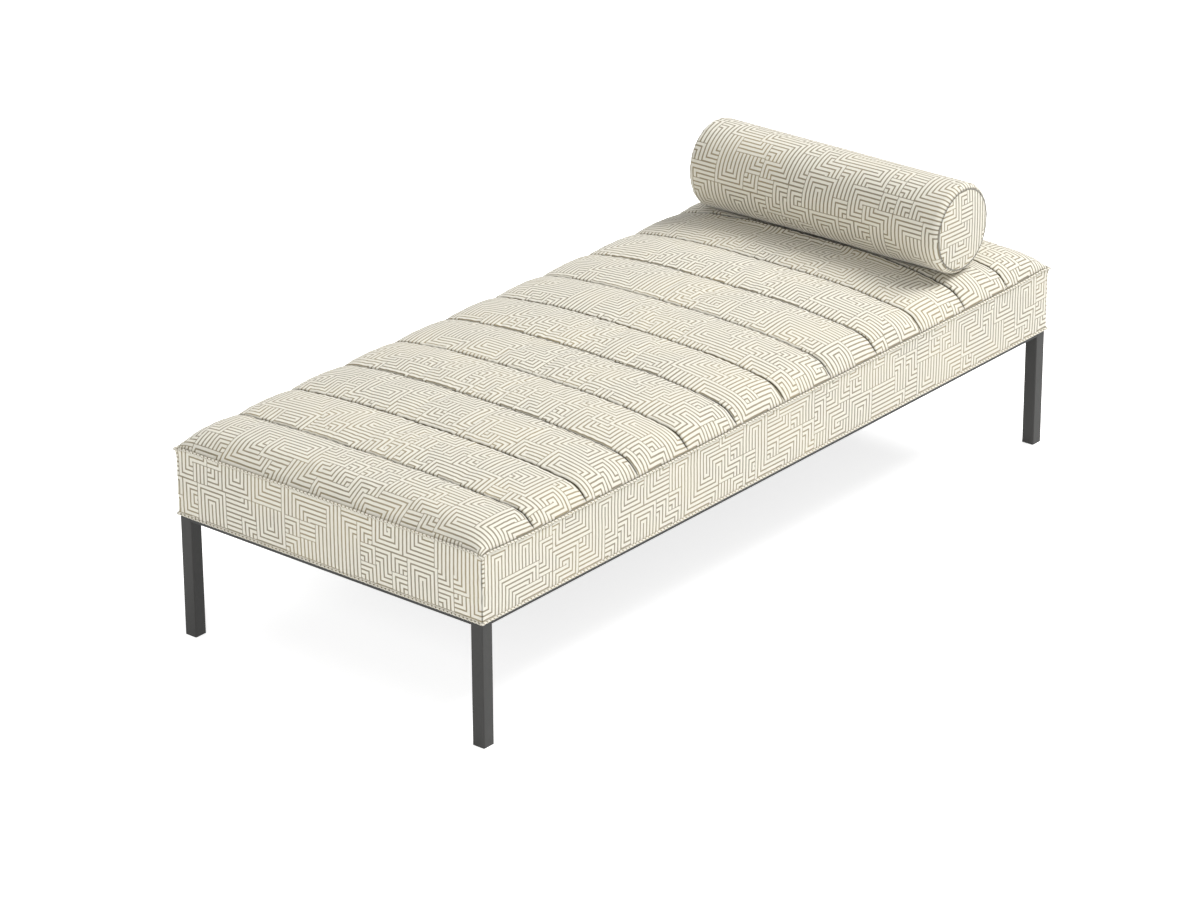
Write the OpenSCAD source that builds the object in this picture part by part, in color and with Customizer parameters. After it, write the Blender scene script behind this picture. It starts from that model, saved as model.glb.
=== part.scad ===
// Backless divan: a slim steel base, an upholstered box seat with a channelled top, and a loose bolster.
// X runs along the length with the bolster end at +X, Y across the width with the near side at -Y, Z up.
// The origin is the middle of the divan's box on the floor.

/* [Overall] */
// Length over the welts, along X
divan_l = 1900; // [1500:10:2200]
// Width over the welts, along Y
divan_w = 812; // [650:2:1000]
// Height of the upholstery's underside above the floor
base_h = 268; // [180:2:380]
// Height of the box seat's sides, from the underside to the top seam
side_h = 148; // [125:1:220]

/* [Steel base] */
// Outer width of a square leg tube
leg_w = 30; // [24:1:45]
// Wall of a leg tube
leg_wall = 2; // [1.5:0.5:3]
// Outer corner radius of a leg tube
leg_corner_r = 2.5; // [2:0.5:4]
// How far the steel stands in from the welts
frame_inset = 5; // [4:1:12]
// Height of the perimeter bars
rail_h = 8; // [6:1:16]
// Width of a cross bar
bar_w = 30; // [24:1:45]
// Height of a cross bar
bar_h = 6; // [5:1:8]
// Leg length of a triangular corner plate
plate_w = 64; // [50:1:80]
// Thickness of a corner plate
plate_t = 5; // [4:1:8]
// Height of a glide's foot below the tube
glide_foot_h = 2; // [1:0.5:5]
// Height of a glide's plug inside the tube
glide_plug_h = 18; // [12:1:30]

/* [Frame screws] */
// Screw diameter
screw_d = 6; // [4:0.5:8]
// Screw length under the head
screw_l = 30; // [20:1:38]
// Head diameter
screw_head_d = 11; // [10:0.5:14]
// Head height
screw_head_h = 3; // [2:0.5:5]
// Size of the hexagon socket across its corners
socket_d = 4.6; // [3:0.2:6]
// Screws along each side rail
side_screws = 5; // [3:1:7]

/* [Timber box] */
// Thickness of the side and end boards
board_t = 27; // [22:1:35]
// Height of the side and end boards
board_h = 70; // [55:1:85]
// Width of a stretcher
stretcher_w = 45; // [38:1:60]
// Height of a stretcher
stretcher_h = 40; // [34:1:50]
// Leg length of a triangular corner block
block_w = 80; // [75:1:100]
// Height of a corner block
block_h = 50; // [40:1:54]
// Diameter of a dowel
dowel_d = 10; // [8:1:12]
// Length of a dowel
dowel_l = 60; // [40:1:80]
// Thickness of the dust cover under the box
dust_t = 1; // [0.5:0.5:2]

/* [Webbing] */
// Width of an elastic strap
strap_w = 50; // [40:1:60]
// Thickness of an elastic strap
strap_t = 1.8; // [1.2:0.2:3]
// Straps along the length
long_straps = 5; // [3:1:5]
// Straps across the width
cross_straps = 13; // [9:1:15]

/* [Upholstery] */
// Number of sewn channels along the length
channels = 12; // [6:1:13]
// Rise of the rounded shoulder inside the top seam
shoulder_h = 26; // [15:1:40]
// Width of the rounded shoulder
shoulder_w = 61; // [40:1:100]
// Further rise of the crown to the middle of the seat
crown_h = 31; // [10:1:50]
// Distance from an end over which the crown fades in
crown_fade = 240; // [160:10:400]
// How far a channel puffs up over its seams
puff_h = 8; // [3:0.5:14]
// Thickness of the side bands, cloth with its lining
band_t = 3; // [2:0.5:6]
// Diameter of the welts
welt_d = 4.6; // [3:0.2:8]
// How far a welt stands proud of the bands
welt_proud = 2.5; // [1.5:0.1:2.6]
// Radius of the seat's upright corners
corner_r = 7; // [6:0.5:20]

/* [Bolster] */
// Diameter of the bolster
bolster_d = 197; // [140:1:240]
// Length of the bolster over its crowned ends
bolster_l = 675; // [600:5:760]
// Distance of the bolster's axis from the head end
bolster_setback = 265; // [180:5:400]
// Offset of the bolster's middle from the seat's centre line
bolster_y = -15; // [-25:5:25]
// How far the bolster settles into the channel under it
bolster_sink = 6; // [0:1:8]
// Thickness of the bolster cover
cover_t = 2; // [1.6:0.2:3]
// Radius of the cover's rolled edge
edge_r = 20; // [15:1:26]
// Radius of the seam that joins an end disc
disc_r = 87; // [85:0.5:92]
// How far an end disc bulges past its seam
disc_crown = 5; // [2:0.5:10]

/* [Zip] */
// Distance from each end of the bolster to the zip in its back
zip_margin = 97.5; // [80:2.5:170]
// Width of the opening that the zip fills
zip_w = 26; // [22:1:32]
// Angle of the zip above the horizontal, on the side that faces the head end
zip_angle = 12; // [0:1:40]
// Thickness of the zip's tape
tape_t = 0.8; // [0.6:0.1:1.2]
// Diameter of the closed row of teeth
teeth_d = 3; // [2.6:0.2:4]
// Width of the stem under the row of teeth
stem_w = 1.2; // [0.8:0.1:1.4]
// Length of the slider
slider_l = 12; // [10:1:18]
// Wall of the slider round the teeth
slider_wall = 1.6; // [1.4:0.1:2.5]
// Diameter of the pin that holds the pull
pin_d = 1.4; // [1.2:0.1:1.6]
// Length of the pull beyond its pin
pull_l = 24; // [18:1:32]
// Width of the pull
pull_w = 6; // [5:0.5:9]
// Thickness of the pull
pull_t = 1.4; // [1.2:0.1:1.8]

/* [Fits] */
// Gap between a soft piece and its neighbour
soft_gap = 0.3; // [0.3:0.05:0.5]
// Gap round a screw in the steel and in the timber
screw_gap = 0.3; // [0.2:0.05:0.6]
// Gap between a glide's ribs and the tube
glide_gap = 0.2; // [0.1:0.05:0.3]
// Gap round a dowel
dowel_gap = 0.1; // [0.05:0.05:0.3]
// Gap between crossing straps
strap_gap = 0.3; // [0.2:0.1:0.6]
// Gap between the moving metal pieces of the zip
run_gap = 0.3; // [0.3:0.05:0.4]
// Gap round the pin that holds the pull
pin_gap = 0.1; // [0.05:0.05:0.2]

/* [Hidden] */
$fn = 48;
CORNERS = [["foot_near", -1, -1], ["foot_far", -1, 1], ["head_near", 1, -1], ["head_far", 1, 1]];
ENDS = [["foot", -1], ["head", 1]];
SIDES = [["near", -1], ["far", 1]];

// One overrun serves every cut
cut = 1;

// Heights of the stack, from the floor up
board_z = base_h + dust_t;
board_top = board_z + board_h;
strap_lift = (strap_t + strap_gap) / 2;
strap_mid = board_top + strap_t / 2;
foam_z = strap_mid + strap_lift + strap_t / 2 + soft_gap;
rim_z = base_h + side_h;

// Half lengths and half widths of the nested outlines
frame_x = divan_l / 2 - frame_inset;
frame_y = divan_w / 2 - frame_inset;
band_x = divan_l / 2 - welt_proud;
band_y = divan_w / 2 - welt_proud;
box_x = band_x - band_t - soft_gap;
box_y = band_y - band_t - soft_gap;
well_x = box_x - board_t;
well_y = box_y - board_t;
welt_x = divan_l / 2 - welt_d / 2;
welt_y = divan_w / 2 - welt_d / 2;
welt_seat = welt_d / 2 + soft_gap;
top_x = band_x - welt_seat;
top_y = band_y - welt_seat;

// Steel base
rail_in_x = frame_x - leg_w;
rail_in_y = frame_y - leg_w;
bar_share = 1 / 3;
bar_x = rail_in_x * bar_share;
rail_screw_x = (frame_x + well_x) / 2;
rail_screw_y = (frame_y + well_y) / 2;
end_screw_share = 0.6;
plate_hole_share = 0.3;
plate_hole = plate_w * plate_hole_share;
plate_nick = leg_corner_r;
block_nick = dowel_d;
screw_tip = 1.5;
glide_rib_t = 1.6;
glide_rib_depth = 1.4;
glide_ribs = 3;
glide_wall = 3;
foot_step = glide_foot_h / 4;

// Timber joints
dowel_in_share = 0.45;
dowel_height_shares = [0.28, 0.72];

// Crown of the seat
crown_power = 3;
puff_power = 2.4;
channel_pitch = divan_l / channels;
inner_shares = [0, 0.06, 0.24, 0.5, 0.76, 0.94];
foot_shares = [0, 0.03, 0.09, 0.2, 0.38, 0.58, 0.78, 0.94];
head_shares = [0, 0.06, 0.22, 0.42, 0.62, 0.8, 0.91, 0.97];
row_shares = [1, 0.985, 0.95, 0.88, 0.76, 0.56, 0.3];
ridge_z = rim_z + shoulder_h + crown_h + puff_h;

// Bolster
bolster_r = bolster_d / 2;
bolster_x = divan_l / 2 - bolster_setback;
bolster_bottom = ridge_z - bolster_sink;
bolster_z = bolster_bottom + bolster_r;
press_z = bolster_bottom - soft_gap;
roll_angle = acos((disc_r - bolster_r + edge_r) / edge_r);
roll_steps = 6;
disc_steps = 8;
roll_y = bolster_l / 2 - disc_crown - edge_r * sin(roll_angle);
lip_r = bolster_r - edge_r + (edge_r - cover_t) * cos(roll_angle);

// Zip, in heights over the bolster's axis
zip_l = bolster_l - 2 * zip_margin;
tape_r = bolster_r - cover_t + tape_t;
teeth_r = tape_r + teeth_d / 2 + run_gap * 2;
channel_r = teeth_d / 2 + run_gap;
slider_w = 2 * (channel_r + slider_wall);
slider_low = tape_r + run_gap;
slider_high = teeth_r + channel_r + slider_wall;
ear_t = 1.2;
ear_low = slider_high - slider_wall / 2;
eye_wall = 1;
eye_r = pin_d / 2 + pin_gap + eye_wall;
pin_r = slider_high + run_gap + eye_r;
slider_end = run_gap;
slider_y = -zip_l / 2 + slider_end + slider_l / 2;
pull_taper_share = 0.6;

// Places children at one corner of the base, turned so that they point to the middle
module at_corner(sx, sy) {
    mirror([sx < 0 ? 1 : 0, 0, 0]) mirror([0, sy < 0 ? 1 : 0, 0]) children();
}

// A box centred in plan, from height z0 up by h
module bar(l, w, h, z0) {
    translate([-l / 2, -w / 2, z0]) cube([l, w, h]);
}

// A flat outline with rounded corners, centred
module rounded_outline(l, w, r) {
    square([l - 2 * r, w], center = true);
    square([l, w - 2 * r], center = true);
    for (x = [-1, 1], y = [-1, 1]) translate([x * (l / 2 - r), y * (w / 2 - r)]) circle(r = r);
}

module rounded_block(l, w, r, h, z0) {
    translate([0, 0, z0]) linear_extrude(h) rounded_outline(l, w, r);
}

// A layer of the timber box's outline, with corners eased to lie inside the bands
module box_layer(h, z0) {
    rounded_block(2 * box_x, 2 * box_y, corner_r - band_t, h, z0);
}

// Legs and glides

module leg(sx, sy) {
    color("dimgray") at_corner(sx, sy)
        translate([frame_x - leg_w / 2, frame_y - leg_w / 2, 0]) difference() {
            rounded_block(leg_w, leg_w, leg_corner_r, base_h - glide_foot_h, glide_foot_h);
            bar(leg_w - 2 * leg_wall, leg_w - 2 * leg_wall, base_h + cut, 0);
        }
}

module glide(sx, sy) {
    bore = leg_w - 2 * leg_wall;
    rib_w = bore - 2 * glide_gap;
    core_w = rib_w - 2 * glide_rib_depth;
    color("black") at_corner(sx, sy) translate([frame_x - leg_w / 2, frame_y - leg_w / 2, 0]) {
        difference() {
            union() {
                rounded_block(leg_w, leg_w, leg_corner_r, glide_foot_h - foot_step, foot_step);
                bar(leg_w - 2 * leg_corner_r, leg_w - 2 * leg_corner_r, glide_foot_h, 0);
                bar(core_w, core_w, glide_plug_h + glide_foot_h - foot_step, foot_step);
                for (i = [1:glide_ribs])
                    bar(rib_w, rib_w, glide_rib_t, glide_foot_h + glide_plug_h * i / (glide_ribs + 1));
            }
            bar(core_w - 2 * glide_wall, core_w - 2 * glide_wall, glide_plug_h + cut, glide_foot_h);
        }
    }
}

// Steel perimeter and cross bars

// Screw places, each with the thickness of steel that it passes
RAIL_SCREWS = [for (i = [0:side_screws - 1], sy = [-1, 1])
    [(i - (side_screws - 1) / 2) * 2 * rail_in_x / side_screws, sy * rail_screw_y, rail_h]];
END_SCREWS = [for (sx = [-1, 1], sy = [-1, 1])
    [sx * rail_screw_x, sy * rail_in_y * end_screw_share, rail_h]];
BAR_SCREWS = [for (sx = [-1, 1], sy = [-1, 1]) [sx * bar_x, sy * rail_in_y * end_screw_share, bar_h]];
PLATE_SCREWS = [for (sx = [-1, 1], sy = [-1, 1])
    [sx * (rail_in_x - plate_hole), sy * (rail_in_y - plate_hole), plate_t]];
SCREWS = concat(RAIL_SCREWS, END_SCREWS, BAR_SCREWS, PLATE_SCREWS);

module screw_holes(places) {
    for (p = places)
        translate([p[0], p[1], base_h - p[2] - cut])
            cylinder(d = screw_d + 2 * screw_gap, h = screw_l + cut + screw_tip);
}

module side_rail(sy) {
    color("dimgray") difference() {
        translate([0, sy * (frame_y - leg_w / 2), 0]) bar(2 * rail_in_x, leg_w, rail_h, base_h - rail_h);
        screw_holes([for (p = RAIL_SCREWS) if (sign(p[1]) == sy) p]);
    }
}

module end_rail(sx) {
    color("dimgray") difference() {
        translate([sx * (frame_x - leg_w / 2), 0, 0]) bar(leg_w, 2 * rail_in_y, rail_h, base_h - rail_h);
        screw_holes([for (p = END_SCREWS) if (sign(p[0]) == sx) p]);
    }
}

module cross_bar(sx) {
    color("dimgray") difference() {
        translate([sx * bar_x, 0, 0]) bar(bar_w, 2 * rail_in_y, bar_h, base_h - bar_h);
        screw_holes([for (p = BAR_SCREWS) if (sign(p[0]) == sx) p]);
    }
}

module corner_plate(sx, sy) {
    color("dimgray") difference() {
        at_corner(sx, sy) translate([rail_in_x, rail_in_y, base_h - plate_t]) linear_extrude(plate_t)
            polygon([[-plate_nick, 0], [-plate_w, 0], [-plate_w, -plate_nick], [-plate_nick, -plate_w],
                     [0, -plate_w], [0, -plate_nick]]);
        screw_holes([for (p = PLATE_SCREWS) if (sign(p[0]) == sx && sign(p[1]) == sy) p]);
    }
}

module frame_screw() {
    rim = screw_head_h / 2;
    difference() {
        union() {
            translate([0, 0, -rim]) cylinder(d = screw_d, h = screw_l + rim);
            translate([0, 0, -rim]) cylinder(d = screw_head_d, h = rim);
            translate([0, 0, -screw_head_h])
                cylinder(d1 = screw_head_d - 2 * rim, d2 = screw_head_d, h = screw_head_h - rim);
        }
        translate([0, 0, -screw_head_h - cut]) cylinder(d = socket_d, h = screw_head_h + cut, $fn = 6);
    }
}

module frame_screws() {
    color("silver") for (p = SCREWS) translate([p[0], p[1], base_h - p[2]]) frame_screw();
}

// Timber box

DOWELS = [for (sx = [-1, 1], sy = [-1, 1], share = dowel_height_shares)
    [sx * (box_x - board_t / 2), sy, board_z + board_h * share]];

module dowel_at(p, d, l) {
    translate([p[0], p[1] * (well_y + board_t * dowel_in_share), p[2]])
        rotate([p[1] * 90, 0, 0]) cylinder(d = d, h = l);
}

module side_board(sy) {
    color("burlywood") difference() {
        intersection() {
            translate([0, sy * (box_y - board_t / 2), 0]) bar(2 * box_x, board_t, board_h, board_z);
            box_layer(board_h + 2 * cut, board_z - cut);
        }
        for (p = DOWELS) if (p[1] == sy) dowel_at(p, dowel_d + 2 * dowel_gap, dowel_l);
        screw_holes([for (p = RAIL_SCREWS) if (sign(p[1]) == sy) p]);
    }
}

module end_board(sx) {
    color("burlywood") difference() {
        translate([sx * (box_x - board_t / 2), 0, 0]) bar(board_t, 2 * well_y, board_h, board_z);
        for (p = DOWELS) if (sign(p[0]) == sx) dowel_at(p, dowel_d + 2 * dowel_gap, dowel_l + screw_tip);
        screw_holes([for (p = END_SCREWS) if (sign(p[0]) == sx) p]);
    }
}

module stretcher(sx) {
    color("burlywood") difference() {
        translate([sx * bar_x, 0, 0]) bar(stretcher_w, 2 * well_y, stretcher_h, board_z);
        screw_holes([for (p = BAR_SCREWS) if (sign(p[0]) == sx) p]);
    }
}

module corner_block(sx, sy) {
    color("burlywood") difference() {
        at_corner(sx, sy) translate([well_x, well_y, board_z]) linear_extrude(block_h)
            polygon([[0, 0], [-block_w, 0], [-block_w, -block_nick],
                     [-block_nick, -block_w], [0, -block_w]]);
        screw_holes([for (p = PLATE_SCREWS) if (sign(p[0]) == sx && sign(p[1]) == sy) p]);
    }
}

module box_dowels() {
    color("tan") for (p = DOWELS) dowel_at(p, dowel_d, dowel_l);
}

module dust_cover() {
    color("black") difference() {
        box_layer(dust_t, base_h);
        screw_holes(SCREWS);
    }
}

// Woven webbing: each strap passes over one crossing and under the next

function strap_place(i, count, half) = (i - (count - 1) / 2) * 2 * half / count;
function crossings(count, half) = [for (i = [0:count - 1]) strap_place(i, count, half)];
strap_ramp = strap_w * 0.15;
strap_in = board_t * 0.3;

// Middle line of a strap: flat on both boards, lifted or lowered at each crossing
function strap_path(half, places, first) = concat(
    [[-half, 0], [places[0] - strap_w, 0]],
    [for (i = [0:len(places) - 1], side = [-1, 1])
        [places[i] + side * (strap_w / 2 + strap_ramp), ((i + first) % 2 == 0 ? 1 : -1) * strap_lift]],
    [[places[len(places) - 1] + strap_w, 0], [half, 0]]);

module strap(path) {
    line = concat(
        [for (p = path) [p[0], strap_mid + p[1] + strap_t / 2]],
        [for (i = [len(path) - 1:-1:0]) [path[i][0], strap_mid + path[i][1] - strap_t / 2]]);
    linear_extrude(strap_w, center = true) polygon(line);
}

module long_strap(j) {
    color("dimgray") translate([0, strap_place(j, long_straps, well_y), 0]) rotate([90, 0, 0])
        strap(strap_path(box_x - strap_in, crossings(cross_straps, well_x), j));
}

module cross_strap_row() {
    color("darkgray") for (i = [0:cross_straps - 1])
        translate([strap_place(i, cross_straps, well_x), 0, 0]) rotate([90, 0, 90])
            strap(strap_path(box_y - strap_in, crossings(long_straps, well_y), i + 1));
}

// Foam, bands and welts

module foam_core() {
    color("lightyellow") box_layer(rim_z - soft_gap - foam_z, foam_z);
}

// The bands' closed ring, which the four bands are cut from
module band_ring() {
    low = base_h + welt_d + soft_gap;
    h = rim_z - welt_seat - low;
    inner_x = band_x - band_t;
    inner_y = band_y - band_t;
    difference() {
        rounded_block(2 * band_x, 2 * band_y, corner_r, h, low);
        rounded_block(2 * inner_x, 2 * inner_y, corner_r - band_t, h + 2 * cut, low - cut);
    }
}

// The region of the side at -Y of a seat with half sizes hx and hy, cut on the diagonals at both ends
module mitre(hx, hy) {
    depth = corner_r + band_t;
    linear_extrude(rim_z)
        polygon([[-hx - cut + soft_gap, -hy - cut], [hx + cut - soft_gap, -hy - cut],
                 [hx - depth - soft_gap, -hy + depth], [-hx + depth + soft_gap, -hy + depth]]);
}

module side_band(sy) {
    color("antiquewhite") mirror([0, sy > 0 ? 1 : 0, 0]) intersection() {
        band_ring();
        mitre(band_x, band_y);
    }
}

module end_band(sx) {
    color("antiquewhite") mirror([sx > 0 ? 1 : 0, 0, 0]) intersection() {
        band_ring();
        rotate(-90) mitre(band_y, band_x);
    }
}

// A round cord along the seat's outline
module welt(z) {
    color("wheat") translate([0, 0, z]) {
        for (s = [-1, 1]) {
            translate([corner_r - welt_x, s * welt_y, 0]) rotate([0, 90, 0])
                cylinder(d = welt_d, h = 2 * (welt_x - corner_r));
            translate([s * welt_x, welt_y - corner_r, 0]) rotate([90, 0, 0])
                cylinder(d = welt_d, h = 2 * (welt_y - corner_r));
        }
        for (c = CORNERS) at_corner(c[1], c[2])
            translate([welt_x - corner_r, welt_y - corner_r, 0])
                rotate_extrude(angle = 90) translate([corner_r, 0]) circle(d = welt_d);
    }
}

// Channelled top, the seat's main form

function shoulder(d) = d >= shoulder_w ? 1 : sqrt(max(0, 1 - pow(1 - d / shoulder_w, 2)));
function crown(d, full) = d >= full ? 1 : 1 - pow(1 - d / full, crown_power);
function puff(share) = puff_h * (1 - pow(abs(2 * share - 1), puff_power));

// Height of the top at x and y, at a share of the way across its channel
function free_z(dx, dy, share) = rim_z + (shoulder_h + puff(share)) * shoulder(dx) * shoulder(dy)
    + crown_h * crown(dx, crown_fade) * crown(dy, top_y);
function top_z(x, y, share) =
    let (z = free_z(top_x - abs(x), top_y - abs(y), share))
    abs(x - bolster_x) < bolster_r ? min(z, press_z) : z;

function seam_x(k) = k == 0 ? -top_x : k == channels ? top_x : k * channel_pitch - divan_l / 2;
function channel_shares(k) = k == 0 ? foot_shares : k == channels - 1 ? head_shares : inner_shares;
COLUMNS = concat(
    [for (k = [0:channels - 1], share = channel_shares(k))
        [seam_x(k) + share * (seam_x(k + 1) - seam_x(k)), share]],
    [[top_x, 0]]);
ROWS = concat([for (share = row_shares) -share * top_y], [0],
    [for (i = [len(row_shares) - 1:-1:0]) row_shares[i] * top_y]);

// Rounds the four corners of the top's outline, to lie inside the welt's corners
function round_corner(x, y) =
    let (c = [welt_x - corner_r, welt_y - corner_r], v = [abs(x), abs(y)] - c)
    min(v) > 0 ? [for (i = [0, 1]) sign([x, y][i]) * (c[i] + v[i] * max(v) / norm(v))] : [x, y];

module quilted_top() {
    n = len(COLUMNS) - 1;
    m = len(ROWS) - 1;
    points = [for (c = COLUMNS, y = ROWS) concat(round_corner(c[0], y), top_z(c[0], y, c[1]))];
    function at(i, j) = i * (m + 1) + j;
    // Each cell is split on the diagonal that points to the nearest corner of the seat
    skin = [for (i = [0:n - 1], j = [0:m - 1], half = [0, 1])
        let (a = at(i, j), b = at(i, j + 1), c = at(i + 1, j + 1), d = at(i + 1, j))
        (i < n / 2) == (j < m / 2)
            ? (half == 0 ? [a, b, c] : [a, c, d])
            : (half == 0 ? [a, b, d] : [d, b, c])];
    underside = [for (i = [1:n - 2], half = [0, 1])
        half == 0 ? [at(i, 0), at(i + 1, 0), at(i + 1, m)] : [at(i, 0), at(i + 1, m), at(i, m)]];
    foot_fan = concat([for (j = [0:m - 1]) [at(1, 0), at(0, j + 1), at(0, j)]],
        [[at(1, 0), at(1, m), at(0, m)]]);
    head_fan = concat([for (j = [0:m - 1]) [at(n - 1, 0), at(n, j), at(n, j + 1)]],
        [[at(n - 1, 0), at(n, m), at(n - 1, m)]]);
    color("ivory") polyhedron(points, concat(skin, underside, foot_fan, head_fan));
}

// Bolster

// Lays a form that stands along Z down along Y, at the bolster's place
module at_bolster() {
    translate([bolster_x, bolster_y, bolster_z]) rotate([-90, 0, 0]) children();
}

// Half the cover's outer outline, from its middle to the seam of the end disc, drawn in by t
function roll(t) = concat([[bolster_r - t, 0]],
    [for (i = [0:roll_steps]) let (a = roll_angle * i / roll_steps)
        [bolster_r - edge_r + (edge_r - t) * cos(a), roll_y + (edge_r - t) * sin(a)]]);
function mirrored(path) = concat([for (i = [len(path) - 1:-1:1]) [path[i][0], -path[i][1]]], path);
function backwards(path) = [for (i = [len(path) - 1:-1:0]) path[i]];

// An end disc's outline from its rim to the axis, lowered by t
function disc_line(t, r) = [for (i = [0:disc_steps]) let (share = 1 - i / disc_steps)
    [r * share, bolster_l / 2 - disc_crown * pow(share, 2) - t]];

// The zip's own frame: X outwards from the bolster's axis, Y round it, Z along it
module at_zip() {
    at_bolster() rotate(-zip_angle) children();
}

// A straight block along the zip, from radius r0 to r1
module zip_block(w, l, r0, r1) {
    translate([r0, -w / 2, -l / 2]) cube([r1 - r0, w, l]);
}

module bolster_cover() {
    color("antiquewhite") at_zip() difference() {
        rotate_extrude($fn = 96) polygon(concat(mirrored(roll(0)), backwards(mirrored(roll(cover_t)))));
        zip_block(zip_w, zip_l, bolster_r / 2, bolster_r + cut);
    }
}

module bolster_disc(s) {
    r = lip_r - soft_gap;
    color("antiquewhite") at_bolster() mirror([0, 0, s < 0 ? 1 : 0])
        rotate_extrude($fn = 96) polygon(concat(disc_line(0, r), backwards(disc_line(cover_t, r))));
}

module bolster_pad() {
    inset = cover_t + soft_gap;
    r = lip_r - soft_gap;
    side = roll(inset);
    end = disc_line(inset, r);
    half = concat([for (p = side) if (p[1] < bolster_l / 2 - disc_crown - inset) p], end);
    color("white") at_bolster() rotate_extrude($fn = 96) polygon(mirrored(half));
}

module zip_tape() {
    length = zip_l - 2 * soft_gap;
    color("tan") at_zip() {
        intersection() {
            difference() {
                cylinder(r = tape_r, h = zip_l, center = true, $fn = 96);
                cylinder(r = bolster_r - cover_t, h = zip_l + cut, center = true, $fn = 96);
            }
            zip_block(zip_w - 2 * soft_gap, length, bolster_r / 2, bolster_r);
        }
        zip_block(stem_w, length, tape_r - tape_t / 2, teeth_r);
        translate([teeth_r, 0, 0]) cylinder(d = teeth_d, h = length, center = true);
    }
}

module zip_slider() {
    color("silver") at_zip() translate([0, 0, slider_y]) difference() {
        union() {
            zip_block(slider_w, slider_l, slider_low, slider_high);
            for (s = [-1, 1]) translate([0, s * (pull_w / 2 + run_gap + ear_t / 2), 0])
                zip_block(ear_t, 2 * eye_r, ear_low, pin_r + eye_r);
            translate([pin_r, 0, 0]) rotate([90, 0, 0])
                cylinder(d = pin_d, h = pull_w + 2 * run_gap + ear_t, center = true);
        }
        translate([teeth_r, 0, 0]) cylinder(r = channel_r, h = slider_l + cut, center = true);
        zip_block(stem_w + 2 * run_gap, slider_l + cut, slider_low - cut, teeth_r);
    }
}

module zip_pull() {
    color("silver") at_zip() translate([pin_r, 0, slider_y]) rotate([90, 0, 0]) difference() {
        union() {
            cylinder(r = eye_r, h = pull_w, center = true);
            translate([-pull_t / 2, 0, -pull_w / 2]) cube([pull_t, pull_l, pull_w]);
        }
        cylinder(d = pin_d + 2 * pin_gap, h = pull_w + cut, center = true);
    }
}

for (c = CORNERS) {
    leg(c[1], c[2]);
    glide(c[1], c[2]);
    corner_plate(c[1], c[2]);
    corner_block(c[1], c[2]);
}
for (e = ENDS) {
    end_rail(e[1]);
    cross_bar(e[1]);
    end_board(e[1]);
    stretcher(e[1]);
    end_band(e[1]);
}
for (s = SIDES) {
    side_rail(s[1]);
    side_board(s[1]);
    side_band(s[1]);
    bolster_disc(s[1]);
}
for (i = [1:long_straps]) long_strap(i - 1);
frame_screws();
box_dowels();
cross_strap_row();  // cross_straps
dust_cover();
foam_core();
quilted_top();
welt(rim_z);  // top_welt
welt(base_h + welt_d / 2);  // bottom_welt
bolster_cover();
bolster_pad();
zip_tape();
zip_slider();
zip_pull();
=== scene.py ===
"""Looks of a backless divan with a channelled seat and a loose bolster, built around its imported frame."""
import math

import bpy
import numpy as np
from mathutils import Matrix, Vector


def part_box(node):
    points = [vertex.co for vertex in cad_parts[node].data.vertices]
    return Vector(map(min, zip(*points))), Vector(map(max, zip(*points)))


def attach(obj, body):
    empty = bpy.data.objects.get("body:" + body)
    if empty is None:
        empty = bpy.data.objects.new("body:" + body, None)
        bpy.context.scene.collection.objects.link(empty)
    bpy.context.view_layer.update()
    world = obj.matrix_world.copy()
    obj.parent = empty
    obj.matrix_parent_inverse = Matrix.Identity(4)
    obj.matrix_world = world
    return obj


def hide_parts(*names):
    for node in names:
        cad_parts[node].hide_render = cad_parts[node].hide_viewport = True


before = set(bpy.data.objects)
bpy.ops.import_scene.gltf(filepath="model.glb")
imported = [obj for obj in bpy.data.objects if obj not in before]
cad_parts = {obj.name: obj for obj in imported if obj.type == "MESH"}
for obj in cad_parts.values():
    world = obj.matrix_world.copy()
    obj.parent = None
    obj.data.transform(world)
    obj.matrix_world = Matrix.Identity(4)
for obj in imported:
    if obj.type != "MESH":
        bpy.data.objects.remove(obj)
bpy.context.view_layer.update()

bl_info = {
    "name": "Backless divan",
    "version": (1, 0, 0),
    "blender": (4, 5, 0),
    "location": "3D View > Sidebar > Divan",
    "description": "Builds the looks of a backless divan with a channelled seat and a loose bolster",
    "category": "Object",
}

CORNERS = ("foot_near", "foot_far", "head_near", "head_far")
ENDS = ("foot", "head")
SIDES = ("near", "far")
# Names of the cloth's map, its bake map, and the value that darkens the cloth towards the seam colour:
# thread, and painted shade in seams, folds and creases
CLOTH_MAP, BAKE_MAP, SEAM_THREAD_AND_SHADE = "Cloth", "OFBake", "Seam"

# Places that every piece is set out from, read from the frame in metres
TOP_LOW, TOP_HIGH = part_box("quilted_top")
BAND_LOW, BAND_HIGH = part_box("side_band_near")
RIM_Z = TOP_LOW.z
TOP_X, TOP_Y = TOP_HIGH.x, TOP_HIGH.y
BAND_X, BAND_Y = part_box("end_band_head")[1].x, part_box("side_band_far")[1].y
WELT_LOW, WELT_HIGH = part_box("top_welt")
WELT_R = (WELT_HIGH.z - WELT_LOW.z) / 2
WELT_X, WELT_Y = WELT_HIGH.x - WELT_R, WELT_HIGH.y - WELT_R
BASE_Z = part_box("bottom_welt")[0].z
BAR_LOW, BAR_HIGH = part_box("cross_bar_head")
BAR_X = (BAR_LOW.x + BAR_HIGH.x) / 2
COVER_LOW, COVER_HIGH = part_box("bolster_cover")
NEAR_END, FAR_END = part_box("bolster_disc_near")[0].y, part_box("bolster_disc_far")[1].y
BOLSTER_R = (COVER_HIGH.z - COVER_LOW.z) / 2
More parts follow.
